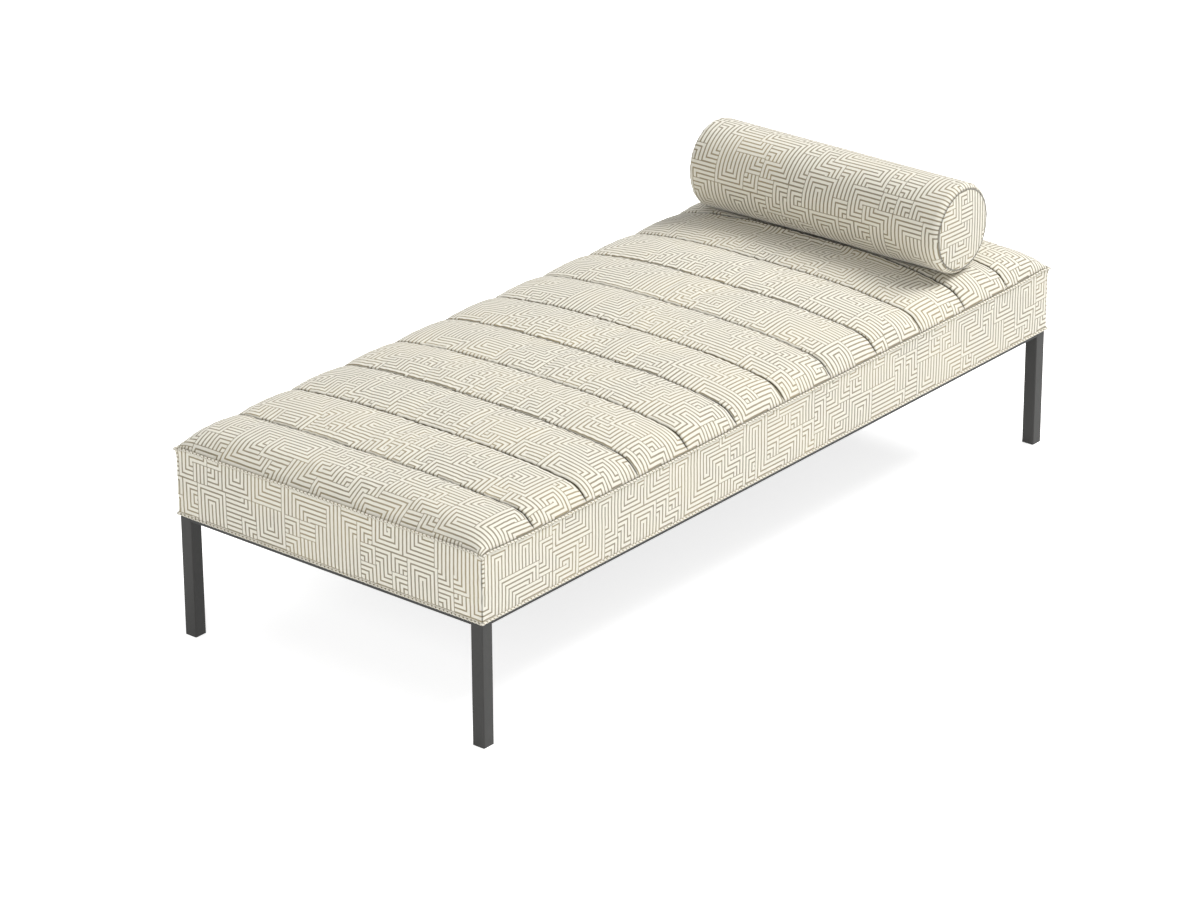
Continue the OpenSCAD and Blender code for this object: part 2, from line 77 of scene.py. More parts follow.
BOLSTER_X, BOLSTER_Z = (COVER_LOW.x + COVER_HIGH.x) / 2, COVER_HIGH.z - BOLSTER_R
BOLSTER_Y, BOLSTER_HALF = (NEAR_END + FAR_END) / 2, (FAR_END - NEAR_END) / 2
GIRTH = 2 * math.pi * BOLSTER_R

# The soft form of the seat: its shoulder's fullness, and how its seam sags along the long sides
FULLNESS = 2.28
RIM_SAG, RIM_LEAN, SAG_REACH, SAG_FADE = 0.0055, 0.002, 0.045, 0.13

# The ears at its corners: for each seam its height, then how far they go out, down and along
EARS = ((RIM_Z, 0.0034, 0.0048, 0.028), (BASE_Z + WELT_R, 0.002, 0.0, 0.016))

# What the bolster does to the seat: a hollow, a lip in front of it and a swelling under both ends
HOLLOW_GAP, HOLLOW_SOFTNESS = 0.0026, 0.0008
LIP_RISE, LIP_AT, LIP_WIDTH = 0.012, 0.05, 0.018
SWELL, SWELL_AT, SWELL_REACH, SWELL_WIDTH = 0.01, 0.31, 0.07, 0.05

# The cloth simulation that puffs out the seat's channels
SETTLE_REACH, SETTLE_FRAMES = 0.004, 20
SETTLING = {
    "quality": 6, "mass": 0.2, "tension_stiffness": 20, "compression_stiffness": 20, "shear_stiffness": 8,
    "bending_stiffness": 0.4, "use_pressure": True, "uniform_pressure_force": 2.0, "shrink_min": -0.004}

# The soft form of the bolster: how far it slumps, its rolled edge, its end panels and its seams
SLUMP, END_SLUMP = 0.0035, 0.0025
EDGE_R, DISC_R, DISC_CROWN = 0.018, 0.087, 0.003
NEAR_SEAM, FAR_SEAM = -BOLSTER_HALF - 0.004, BOLSTER_HALF - 0.003
ZIP_TURN = math.radians(12.0)

# The studio: its floor, its world's strength, its lamps' places, sizes and watts, and its camera
FLOOR_REACH, FLOOR_FADE = 40.0, (3.5, 9.0)
FLOOR_BOUNCE, FLOOR_GLOW, WORLD_LIGHT = 0.43, 0.76, 0.16
LAMP_AIM = (0.0, 0.0, 0.4)
LAMPS = (("Key", (6.9, -4.0, 10.6), 7.0, 1640.0), ("Overhead", (0.0, 0.0, 7.0), 10.0, 165.0),
         ("Fill", (-7.0, -3.8, 3.8), 4.0, 228.0))
CAMERA_PLACE, CAMERA_TURNS = (-6.93555, -5.64962, 4.17856), (65.98972, 0.26826, -50.52698)
LENS, SENSOR = 139.25, 36.0


def colour(name, description, value):
    return bpy.props.FloatVectorProperty(
        name=name, description=description, default=value, subtype="COLOR", min=0.0, max=1.0)


def length(name, description, value):
    return bpy.props.FloatProperty(name=name, description=description, default=value, unit="LENGTH")


class DivanSizes(bpy.types.PropertyGroup):
    """Sizes of the cloth, its channels and its seams"""
    channels: bpy.props.IntProperty(
        name="Channels", description="Sewn channels along the seat", default=12, min=2)
    shoulder_rise: length("Shoulder rise", "Height of the rounded shoulder", 0.026)
    shoulder_width: length("Shoulder width", "Width of the rounded shoulder", 0.061)
    crown_rise: length("Crown rise", "Further rise to the middle of the seat", 0.031)
    crown_fade: length("Crown fade", "Distance over which the crown fades in from the head end", 0.24)
    foot_fade: length("Foot fade", "Distance over which the crown fades in from the softer foot end", 0.85)
    puff_rise: length("Puff rise", "How far a channel puffs up over its seams", 0.0058)
    groove_depth: length("Groove depth", "How deep a channel's seam is pulled in", 0.0044)
    groove_width: length("Groove width", "Half width of the groove along a seam", 0.0026)
    pucker: length("Pucker", "Height of the small folds beside a seam", 0.0005)
    band_bulge: length("Band bulge", "How far the side bands stand out at mid height", 0.0017)
    fret_pitch: length("Fret pitch", "Distance between neighbouring lines of the woven fret", 0.01)
    fret_line: length("Fret line", "Width of one woven line", 0.0034)
    stitch: length("Stitch", "Length of one stitch", 0.0062)


class DivanColours(bpy.types.PropertyGroup):
    """Colours of the divan's finishes"""
    cream: colour("Cream", "Ground of the upholstery cloth", (0.82, 0.79, 0.695))
    taupe: colour("Taupe", "Greyer woven lines", (0.222, 0.187, 0.115))
    gold: colour("Gold", "Warmer woven lines", (0.325, 0.262, 0.142))
    seam: colour("Seam", "Thread and the shade down in a seam", (0.045, 0.040, 0.026))
    steel: colour("Steel", "Satin powder coat on the steel", (0.040, 0.0397, 0.0382))
    glide: colour("Glide", "Plastic of the glides", (0.018, 0.018, 0.018))
    zinc: colour("Zinc", "Plating of the screws", (0.62, 0.61, 0.58))
    timber: colour("Timber", "Pale softwood of the box", (0.60, 0.41, 0.235))
    grain: colour("Grain", "Darker grain of the box's softwood", (0.42, 0.25, 0.12))
    webbing: colour("Webbing", "Elastic straps", (0.04, 0.037, 0.034))
    dust: colour("Dust cover", "Cloth under the seat", (0.022, 0.022, 0.023))
    foam: colour("Foam", "Foam and wadding", (0.78, 0.74, 0.60))
    tape: colour("Zip tape", "Tape of the zip", (0.46, 0.40, 0.31))
    metal: colour("Zip metal", "Slider, pull and teeth of the zip", (0.2, 0.175, 0.135))
    floor: colour("Floor", "Pale studio floor", (0.86, 0.86, 0.855))


# Shader maths

def maths(operation, turned=False):
    """A method that adds one Math node. Turned puts the other number first."""
    def method(self, *others):
        return self.finish.math(operation, *((*others, self) if turned else (self, *others)))
    return method


class Term:
    """One output of a node. Arithmetic on it adds Math nodes."""

    def __init__(self, finish, socket):
        self.finish = finish
        self.socket = socket

    def output(self, name):
        """Another output of the same node."""
        return Term(self.finish, self.socket.node.outputs[name])

    __add__ = __radd__ = maths("ADD")
    __sub__, __rsub__ = maths("SUBTRACT"), maths("SUBTRACT", turned=True)
    __mul__ = __rmul__ = maths("MULTIPLY")
    __truediv__, __rtruediv__ = maths("DIVIDE"), maths("DIVIDE", turned=True)
    __gt__, __lt__ = maths("GREATER_THAN"), maths("LESS_THAN")
    floor, size, sine = maths("FLOOR"), maths("ABSOLUTE"), maths("SINE")
    larger = maths("MAXIMUM")


class Finish:
    """A material, or the world, and the nodes that make it."""

    def __init__(self, name, kind="materials"):
        self.material = getattr(bpy.data, kind).new(name)
        self.material.use_nodes = True
        self.tree = self.material.node_tree
        self.tree.nodes.clear()

    def node(self, kind, settings=None, values=None, output=0):
        """Adds a node: its settings first, then the values or links of its sockets. Gives one output."""
        made = self.tree.nodes.new("ShaderNode" + kind)
        for key, setting in (settings or {}).items():
            setattr(made, key, setting)
        for key, value in (values or {}).items():
            if isinstance(value, Term):
                self.tree.links.new(value.socket, made.inputs[key])
            else:
                made.inputs[key].default_value = value
        return Term(self, made.outputs[output]) if made.outputs else None

    def math(self, operation, *values):
        return self.node("Math", {"operation": operation}, dict(enumerate(values)))

    def choose(self, factor, first, second):
        """The first number where the factor is 0, and the second where it is 1."""
        return self.node("Mix", {"data_type": "FLOAT"}, {0: factor, 2: first, 3: second})

    def tint(self, factor, first, second):
        """The first colour where the factor is 0, and the second where it is 1."""
        return self.node("Mix", {"data_type": "RGBA"}, {0: factor, 6: first, 7: second}, 2)

    def shades(self, factor, rgb, low, high):
        """One colour, at its low share where the factor is 0 and at its high share where it is 1."""
        return self.tint(factor, shaded(rgb, low), shaded(rgb, high))

    def spread(self, value, low, high):
        """0 at the low number and 1 at the high one, and held there beyond them."""
        return self.node("MapRange", {}, {0: value, 1: low, 2: high})

    def place(self):
        """Coordinates of the piece at rest, in metres."""
        return self.node("TexCoord", output="Object")

    def stretched(self, vector, scale):
        return self.node("VectorMath", {"operation": "MULTIPLY"}, {0: vector, 1: scale})

    def noise(self, vector, scale, detail=2.0, roughness=0.5):
        return self.node("TexNoise", {}, {
            "Vector": vector, "Scale": scale, "Detail": detail, "Roughness": roughness})

    def seen(self):
        """1 for rays from the camera, also through a reflection or a clear surface, and 0 for light."""
        rays = self.node("LightPath", output="Is Camera Ray")
        return rays.larger(rays.output("Is Glossy Ray")).larger(rays.output("Is Transmission Ray"))

    def blend(self, factor, first, second):
        """The first shader where the factor is 0, and the second where it is 1."""
        return self.node("MixShader", {}, {0: factor, 1: first, 2: second})

    def glow(self, kind, strength):
        """A plain white light of one strength."""
        return self.node(kind, {}, {"Color": (1.0, 1.0, 1.0, 1.0), "Strength": strength})

    def bump(self, height, distance, strength):
        return self.node("Bump", {}, {"Height": height, "Distance": distance, "Strength": strength})

    def surface(self, colour, roughness, normal, **constants):
        """Ends the material in one shader, with its constant values on the shader's own sockets."""
        values = {"Base Color": colour, "Roughness": roughness, "Normal": normal}
        values.update((key.replace("_", " "), value) for key, value in constants.items())
        self.node("OutputMaterial", {}, {"Surface": self.node("BsdfPrincipled", {}, values)})
        return self.material


def shaded(rgb, share=1.0):
    return (*(c * share for c in rgb), 1.0)


def chance(finish, i, j, seed):
    """A random number for each cell of a grid."""
    cell = finish.node("CombineXYZ", {}, {"X": i + 0.5, "Y": j + 0.5, "Z": seed})
    return finish.node("TexWhiteNoise", {"noise_dimensions": "3D"}, {"Vector": cell}, "Value")


def fret_tile(finish, u, v, size, seed, turns):
    """Straight runs, and a share of nested corners, in tiles of the given size in line pitches."""
    i, j = (u / size).floor(), (v / size).floor()
    x, y = u - i * size, v - j * size
    across = (x - (chance(finish, i, j, seed) > 0.5) * size).size()
    along = (y - (chance(finish, i, j, seed + 1.0) > 0.5) * size).size()
    kind = chance(finish, i, j, seed + 2.0)
    bent = finish.choose(kind > turns, across.larger(along), along)
    return finish.choose(kind > (1 + turns) / 2, bent, across), (x, along, kind)


def fret_field(finish, u, v):
    """A field whose whole numbers draw a generic fret, for coordinates in line pitches."""
    tile = 8.0
    v = v + 0.5
    shifted = u + (chance(finish, (v / tile).floor(), 0.0 * v, 3.0) * tile).floor()
    small, _ = fret_tile(finish, shifted, v, tile / 2, 11.0, 0.76)
    large, (x, along, kind) = fret_tile(finish, shifted, v, tile, 21.0, 0.84)
    hoop = (x - tile / 2).size().larger(along - tile / 2)
    large = finish.choose(kind > 0.45, hoop, large)
    i, j = (shifted / tile).floor(), (v / tile).floor()
    return finish.choose(chance(finish, i, j, 31.0) > 0.52, small, large)


def cloth_finish(name, sizes, colours, plain=False):
    """Woven upholstery cloth. The plain form has straight cross lines, for narrow welts."""
    finish = Finish(name)
    uv = finish.node("UVMap", {"uv_map": CLOTH_MAP})
    drift = finish.noise(uv, 90.0) * 0.1 - 0.05
    across = finish.node("SeparateXYZ", {}, {0: uv})
    u = across / sizes.fret_pitch + drift
    v = across.output(1) / sizes.fret_pitch - drift
    gap = (u if plain else fret_field(finish, u, v)) + 0.5
    gap = (gap - gap.floor() - 0.5).size()
    half, soft = sizes.fret_line / sizes.fret_pitch / 2, 0.05
    lines = finish.spread(gap, half + soft, half - soft)
    threads = 13.0 * 2 * math.pi
    weave = (u * threads).sine() * (v * threads).sine()
    tone = finish.noise(uv, 5.5, 3.0, 0.55)
    slub = finish.noise(finish.stretched(uv, (420.0, 60.0, 1.0)), 1.0)
    line = finish.tint(finish.spread(tone, 0.42, 0.62), shaded(colours.taupe), shaded(colours.gold))
    ground = finish.shades(slub, colours.cream, 0.93, 1.03)
    cloth = finish.tint(lines * (0.84 + 0.16 * slub), ground, line)
    # The seam value darkens the cloth towards the seam colour: thread, and painted shade in seams, folds
    # and creases
    seam = finish.node("Attribute", {"attribute_name": SEAM_THREAD_AND_SHADE}, output="Fac")
    cloth = finish.tint(seam, cloth, shaded(colours.seam))
    height = lines * 0.6 + weave * 0.18 + slub * 0.25
    return finish.surface(
        cloth, 0.9 - 0.08 * lines, finish.bump(height, 0.0005, 0.6),
        Sheen_Weight=0.45, Sheen_Roughness=0.35, Specular_IOR_Level=0.25)


def seat_cloth(sizes, colours):
    """The one cloth that the seat, its bands and the bolster share."""
    return bpy.data.materials.get("Fret cloth") or cloth_finish("Fret cloth", sizes, colours)


def thread_finish(name, rgb):
    finish = Finish(name)
    twist = finish.noise(finish.place(), 900.0, 1.0)
    tone = finish.shades(twist, rgb, 0.6, 1.5)
    return finish.surface(tone, 0.75, finish.bump(twist, 0.0002, 0.5), Sheen_Weight=0.2)


def steel_finish(colours):
    """Satin powder coat with its fine orange peel."""
    finish = Finish("Powder coated steel")
    place = finish.place()
    peel = finish.noise(place, 1400.0)
    cloud = finish.noise(place, 9.0, 3.0)
    tone = finish.shades(cloud, colours.steel, 0.9, 1.12)
    return finish.surface(
        tone, 0.40 + 0.1 * cloud, finish.bump(peel, 0.00025, 0.35), Specular_IOR_Level=0.25)


def moulded_finish(colours):
    finish = Finish("Moulded plastic")
    grain = finish.noise(finish.place(), 1800.0)
    tone = finish.shades(grain, colours.glide, 0.85, 1.3)
    return finish.surface(tone, 0.55 + 0.1 * grain, finish.bump(grain, 0.0002, 0.5))


def plated_finish(name, rgb, roughness):
    """Plated or polished metal with faint scratches."""
    finish = Finish(name)
    place = finish.place()
    cloud = finish.noise(place, 160.0, 3.0)
    scratch = finish.noise(finish.stretched(place, (300.0, 2600.0, 2600.0)), 1.0)
    tone = finish.shades(cloud, rgb, 0.85, 1.1)
    return finish.surface(
        tone, roughness + 0.12 * scratch, finish.bump(scratch, 0.0001, 0.25), Metallic=1.0)


def timber_finish(name, colours, scale):
    """Planed softwood, its grain drawn out along one axis."""
    finish = Finish(name)
    place = finish.stretched(finish.place(), scale)
    rings = finish.noise(place, 1.0, 4.0, 0.6)
    fibre = finish.noise(finish.stretched(place, (6.0, 6.0, 6.0)), 1.0, 3.0)
    bands = (rings * 26.0).sine() * 0.5 + 0.5
    tone = finish.tint(bands * 0.7 + fibre * 0.3, shaded(colours.timber), shaded(colours.grain))
    return finish.surface(tone, 0.72 - 0.12 * fibre, finish.bump(bands + fibre, 0.0003, 0.4))


def fibre_finish(name, rgb, threads, depth, roughness=0.85):
    """A plain woven, matted or foamed material."""
    finish = Finish(name)
    place = finish.place()
    mat = finish.noise(place, threads, 3.0, 0.65)
    cloud = finish.noise(place, 14.0)
    tone = finish.shades(mat * 0.7 + cloud * 0.3, rgb, 0.7, 1.25)
    return finish.surface(tone, roughness, finish.bump(mat, depth, 0.8), Sheen_Weight=0.1)


def floor_finish(colours):
    """A pale floor that keeps the divan's shadow and stays white to the camera."""
    finish = Finish("Studio floor")
    place = finish.place()
    tone = finish.shades(finish.noise(place, 2.0), colours.floor, 0.99, 1.0)
    lit = finish.node("BsdfDiffuse", {}, {"Color": tone})
    glow = finish.blend(
        finish.seen(), finish.glow("Emission", FLOOR_BOUNCE), finish.glow("Emission", FLOOR_GLOW))
    floor = finish.node("AddShader", {}, {0: lit, 1: glow})
    away = finish.node("VectorMath", {"operation": "LENGTH"}, {0: place}, "Value")
    floor = finish.blend(finish.spread(away, *FLOOR_FADE), floor, finish.glow("Emission", 1.0))
    under = finish.node("NewGeometry", output="Backfacing")
    whole = finish.blend(under, floor, finish.node("BsdfTransparent"))
    finish.node("OutputMaterial", {}, {"Surface": whole})
    return finish.material


def studio_world():
    """A dim even world that is white where the camera sees it."""
    finish = Finish("Studio", "worlds")
    light = finish.blend(
        finish.seen(), finish.glow("Background", WORLD_LIGHT), finish.glow("Background", 1.0))
    finish.node("OutputWorld", {}, {"Surface": light})
    return finish.material


# Mesh code

def add_piece(name, points, faces, finish, slot, body="root", maps=None, seam=None, smooth=True):
    """Makes one piece of the divan from points and faces, and lets it ride on its body."""
    mesh = bpy.data.meshes.new(name)
    points = np.reshape(points, (-1, 3))
    mesh.from_pydata(points.tolist(), [], [list(map(int, f)) for f in faces])
    mesh.polygons.foreach_set("use_smooth", np.full(len(mesh.polygons), smooth))
    corners = np.empty(len(mesh.loops), np.int32)
    mesh.loops.foreach_get("vertex_index", corners)
    for layer, spots in (maps or {}).items():
        if len(spots) == len(points):
            spots = spots[corners]
        mesh.uv_layers.new(name=layer).data.foreach_set("uv", spots.ravel())
    # The seam value: thread, and painted shade in seams, folds and creases
    if seam is not None:
        mesh.attributes.new(SEAM_THREAD_AND_SHADE, "FLOAT", "POINT").data.foreach_set(
            "value", np.asarray(seam, np.float32).ravel())
    mesh.materials.append(finish)
    mesh.update()
    piece = bpy.data.objects.new(name, mesh)
    bpy.context.scene.collection.objects.link(piece)
    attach(piece, body)
    return piece


def give_finish(finish, *nodes):
    """Gives CAD nodes their finish, in every slot of their materials."""
    for node in nodes:
        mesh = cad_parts[node].data
        if not mesh.materials:
            mesh.materials.append(finish)
        for slot in range(len(mesh.materials)):
            mesh.materials[slot] = finish


def unit(value):
    """Holds a number between 0 and 1."""
    return np.clip(value, 0, 1)


def bell(distance, width):
    """1 at no distance, and nothing a few widths away."""
    return np.exp(-(distance / width) ** 2)


def field(rows, columns):
    """Two lines of numbers, spread over a grid."""
    return np.meshgrid(rows, columns, indexing="ij")


def joint_grid(*values):
    """Numbers that belong together, spread over a grid and set side by side."""
    return np.stack(np.broadcast_arrays(*values), -1)


def pairs(u, v):
    """A map's coordinates, one row for each point of a grid."""
    return joint_grid(u, v).reshape(-1, 2)


def aimed(vectors):
    """Vectors of length 1 in the same directions."""
    return vectors / np.linalg.norm(vectors, axis=-1, keepdims=True)


def quarter_turn(points, quarter):
    """Points turned about the vertical axis by quarters of a circle."""
    return points @ np.array(Matrix.Rotation(quarter * math.pi / 2, 3, "Z")).T


def grid_faces(rows, columns, closed=False):
    """Quads between rows and columns of points. Closed joins the last column to the first."""
    i = np.arange(rows - 1)[:, None] * columns
    j = np.arange(columns if closed else columns - 1)
    near, next_one = i + j, i + (j + 1) % columns
    return np.stack([near, near + columns, next_one + columns, next_one], -1).reshape(-1, 4)


def capped(grid, flip=False):
    """Points and faces of a form with a ring of points in each row and a cap over both its ends."""
    rows, columns = grid.shape[:2]
    faces = grid_faces(rows, columns, closed=True)
    first, last = list(range(columns)), list(range((rows - 1) * columns, rows * columns))
    if flip:
        return grid.reshape(-1, 3), [*faces[:, ::-1].tolist(), first[::-1], last]
    return grid.reshape(-1, 3), [*faces.tolist(), first, last[::-1]]


def joined(parts):
    """One form from several, each given by its points and faces."""
    points, faces, count = [], [], 0
    for some, quads in parts:
        points.append(np.reshape(some, (-1, 3)))
        faces += [[p + count for p in face] for face in quads]
        count += len(points[-1])
    return np.concatenate(points), faces


def folded_map(u, v, folds):
    """A bake map of a long grid, cut into equal strips that lie above each other."""
    rows, columns = u.shape
    faces = grid_faces(rows, columns)
    row = np.repeat(np.arange(rows - 1), columns - 1)
    strip = np.minimum(row * folds // (rows - 1), folds - 1)
    first = -(-strip * (rows - 1) // folds)
    last = -(-(strip + 1) * (rows - 1) // folds)
    start, end = u[first, 0][:, None], u[last, 0][:, None]
    across = (u.ravel()[faces] - start) / (end - start)
    up = (v.ravel()[faces] - v.min()) / (v.max() - v.min())
    margin = 0.006
    across = margin + (1 - 2 * margin) * across
    up = (strip[:, None] + margin + (1 - 2 * margin) * up) / folds
    return pairs(across, up)


def run_length(points):
    """Distance along a line of points, from its first point."""
    steps = np.linalg.norm(np.diff(points, axis=0), axis=1)
    return np.concatenate([[0.0], np.cumsum(steps)])


def waves(draw, place, lengths):
    """A smooth random ripple along a line, between about -1 and 1."""
    total = 0.0 * place
    for size in lengths:
        total = total + np.sin(2 * math.pi * place / size + draw.uniform(0, 2 * math.pi))
    return total / math.sqrt(len(lengths))


def surface_normals(grid):
    """Unit normals of a grid of points, with shape rows, columns, 3."""
    normal = np.cross(np.gradient(grid, axis=0), np.gradient(grid, axis=1))
    return normal / np.maximum(np.linalg.norm(normal, axis=2, keepdims=True), 1e-12)


def tube(path, radius, sides=12, closed=False):
    """A tube along a path: its points and its map, with a radius for each point of the path."""
    ahead = np.roll(path, -1, 0) - np.roll(path, 1, 0) if closed else np.gradient(path, axis=0)
    ahead = aimed(ahead)
    side = aimed(np.cross(ahead, (0.0, 0.0, 1.0)))
    top = np.cross(side, ahead)
    turn = 2 * math.pi * np.arange(sides + 1) / sides
    ring = np.cos(turn)[None, :, None] * side[:, None] + np.sin(turn)[None, :, None] * top[:, None]
    if closed:
        path, ring, radius = (np.concatenate([line, line[:1]]) for line in (path, ring, radius))
    points = path[:, None] + ring * radius[:, None, None]
    return points, *field(run_length(path), turn * np.mean(radius))


def copies(form, places, axes):
    """Sets one small form down at many places. Axes holds three rows per place: its X, Y and Z."""
    points, faces = form
    many = np.einsum("pk,nkc->npc", points, np.asarray(axes, float)) + np.asarray(places)[:, None]
    return joined((one, faces) for one in many)


def pill(long, width, height, arch=0.0, rings=5, sides=6):
    """A small rounded rod along X, which may arch over like a stitch."""
    share = (-1 + 2 * (np.arange(rings) + 0.5) / rings)[:, None]
    scale = np.sqrt(1 - np.abs(share) ** 3 * 0.8)
    turn = 2 * math.pi * np.arange(sides) / sides
    grid = joint_grid(share * long / 2, scale * np.cos(turn) * width / 2,
                      scale * np.sin(turn) * height / 2 + arch * (1 - share ** 2))
    faces = grid_faces(rings, sides, closed=True)[:, [0, 3, 2, 1]].tolist()
    first, last = list(range(sides)), list(range((rings - 1) * sides, rings * sides))
    return grid.reshape(-1, 3), [*faces, first[::-1], last]


def settled(grid, pinned):
    """Puffs a grid of cloth out between its pinned points, and returns how far each point moved."""
    mesh = bpy.data.meshes.new("Settling cloth")
    mesh.from_pydata(grid.reshape(-1, 3).tolist(), [], grid_faces(*grid.shape[:2]).tolist())
    piece = bpy.data.objects.new("Settling cloth", mesh)
    scene = bpy.context.scene
    scene.collection.objects.link(piece)
    group = piece.vertex_groups.new(name="Pinned")
    group.add(np.nonzero(pinned.ravel())[0].tolist(), 1.0, "REPLACE")
    cloth = piece.modifiers.new("Cloth", "CLOTH")
    for key, value in SETTLING.items():
        setattr(cloth.settings, key, value)
    cloth.settings.vertex_group_mass = group.name
    cloth.settings.effector_weights.gravity = 0
    cloth.collision_settings.use_collision = False
    for step in range(1, SETTLE_FRAMES + 1):
        scene.frame_set(step)
    shaped = piece.evaluated_get(bpy.context.evaluated_depsgraph_get()).to_mesh()
    ends = np.empty(grid.size)
    shaped.vertices.foreach_get("co", ends)
    move = ends.reshape(grid.shape) - grid
    bpy.data.objects.remove(piece)
    bpy.data.meshes.remove(mesh)
    scene.frame_set(1)
    reach = np.maximum(np.linalg.norm(move, axis=2, keepdims=True), 1e-9)
    return move * np.minimum(1.0, SETTLE_REACH / reach)


def refined(grid):
    """Fills in the points between those of a coarse grid."""
    for axis in (0, 1):
        first = np.moveaxis(grid, axis, 0)
        full = np.empty((2 * len(first) - 1, *first.shape[1:]))
        full[::2] = first
        full[1::2] = (first[:-1] + first[1:]) / 2
        grid = np.moveaxis(full, 0, axis)
    return grid


def drawn(points):
    """Lowers the seam along the long sides, and draws the cloth out to an ear at each corner."""
    p = points.reshape(-1, 3).copy()
    by_seam = unit(1 - np.hypot(p[:, 2] - RIM_Z, np.abs(p[:, 1]) - BAND_Y) / SAG_REACH)
    by_seam = by_seam * by_seam * (3 - 2 * by_seam) * unit((BAND_X - np.abs(p[:, 0])) / SAG_FADE) ** 0.7
    p[:, 2] -= RIM_SAG * by_seam
    p[:, 1] += np.sign(p[:, 1]) * RIM_LEAN * by_seam
    for line, out, drop, reach in EARS:
        off = np.stack([np.abs(p[:, 0]) - BAND_X, np.abs(p[:, 1]) - BAND_Y, p[:, 2] - line])
        near = unit(1 - np.linalg.norm(off, axis=0) / reach) ** 2
        p[:, 0] += np.sign(p[:, 0]) * out * near
        p[:, 1] += np.sign(p[:, 1]) * out * near
        p[:, 2] -= drop * near
    return p.reshape(points.shape)


# Seat

def shoulder(distance, sizes):
    """How much of its height the rounded shoulder has reached, at a distance from the edge."""
    inside = unit(1 - distance / sizes.shoulder_width)
    return (1 - inside ** FULLNESS) ** (1 / FULLNESS)


def crown(distance, full):
    """How much of its height the crown has reached, at a distance from the edge."""
    return 1 - unit(1 - distance / full) ** 3


def seat_columns(sizes, steps=36):
    """Places along the seat, closer together beside each seam, and their shares of the channel."""
    seams = (np.arange(1, sizes.channels) / sizes.channels - 0.5) * 2 * (BAND_X + 0.0025)
    edges = np.concatenate([[-TOP_X], seams, [TOP_X]])
    even = np.arange(steps) / steps
    share = even - 0.8 * np.sin(2 * math.pi * even) / (2 * math.pi)
    x = (edges[:-1, None] + share * np.diff(edges)[:, None]).ravel()
    return np.append(x, TOP_X), np.append(np.tile(share, sizes.channels), 0.0), seams


def seat_rows(sizes, steps=14, middle=136):
    """Places across the seat, closer together on its shoulders."""
    edge = sizes.shoulder_width * (1 - np.cos(np.linspace(0, math.pi / 2, steps + 1)))
    half = TOP_Y - sizes.shoulder_width
    flat = np.linspace(-half, half, middle + 1)
    return np.concatenate([edge[:-1] - TOP_Y, flat, (TOP_Y - edge[:-1])[::-1]])


def seat_height(x, y, share, sizes):
    """Height of the channelled top."""
    dx, dy = TOP_X - np.abs(x), TOP_Y - np.abs(y)
    puff = sizes.puff_rise * (1 - np.abs(2 * share - 1) ** 2.4)
    z = RIM_Z + (sizes.shoulder_rise + puff) * shoulder(dx, sizes) * shoulder(dy, sizes)
    fade = np.where(x < 0, sizes.foot_fade, sizes.crown_fade)
    return z + sizes.crown_rise * crown(dx, fade) * crown(dy, TOP_Y)


def hollowed(grid):
    """Presses the cloth down into a hollow that stays clear of the bolster."""
    x, y, z = np.moveaxis(grid, 2, 0)
    low = np.sqrt(1 - np.clip(np.abs(x - BOLSTER_X) / BOLSTER_R, 0, 0.999) ** 2)
    past = unit((np.abs(y - BOLSTER_Y) - BOLSTER_HALF - 0.002) / 0.05)
    hollow = BOLSTER_Z - (BOLSTER_R + HOLLOW_GAP) * low - slump(low, y) + 0.03 * past ** 2
    return joint_grid(x, y, hollow - HOLLOW_SOFTNESS * np.logaddexp(0, (hollow - z) / HOLLOW_SOFTNESS))


def seat_grid(sizes):
    """The seat top's points, their distance from the nearest seam, and the seams."""
    x, share, seams = seat_columns(sizes)
    x_grid, y_grid = field(x, seat_rows(sizes))
    z_grid = seat_height(x_grid, y_grid, share[:, None], sizes)
    corner = 0.005
    reach = np.stack([np.abs(x_grid) - TOP_X + corner, np.abs(y_grid) - TOP_Y + corner])
    reach = np.clip(reach, 0, None)
    over = np.linalg.norm(reach, axis=0)
    pull = np.where(over > 0, reach.max(0) / np.maximum(over, 1e-9), 1.0)
    x_grid = x_grid - np.sign(x_grid) * reach[0] * (1 - pull)
    y_grid = y_grid - np.sign(y_grid) * reach[1] * (1 - pull)
    off = x[:, None] - seams
    return joint_grid(x_grid, y_grid, z_grid), off[np.arange(len(x)), np.abs(off).argmin(1)], seams


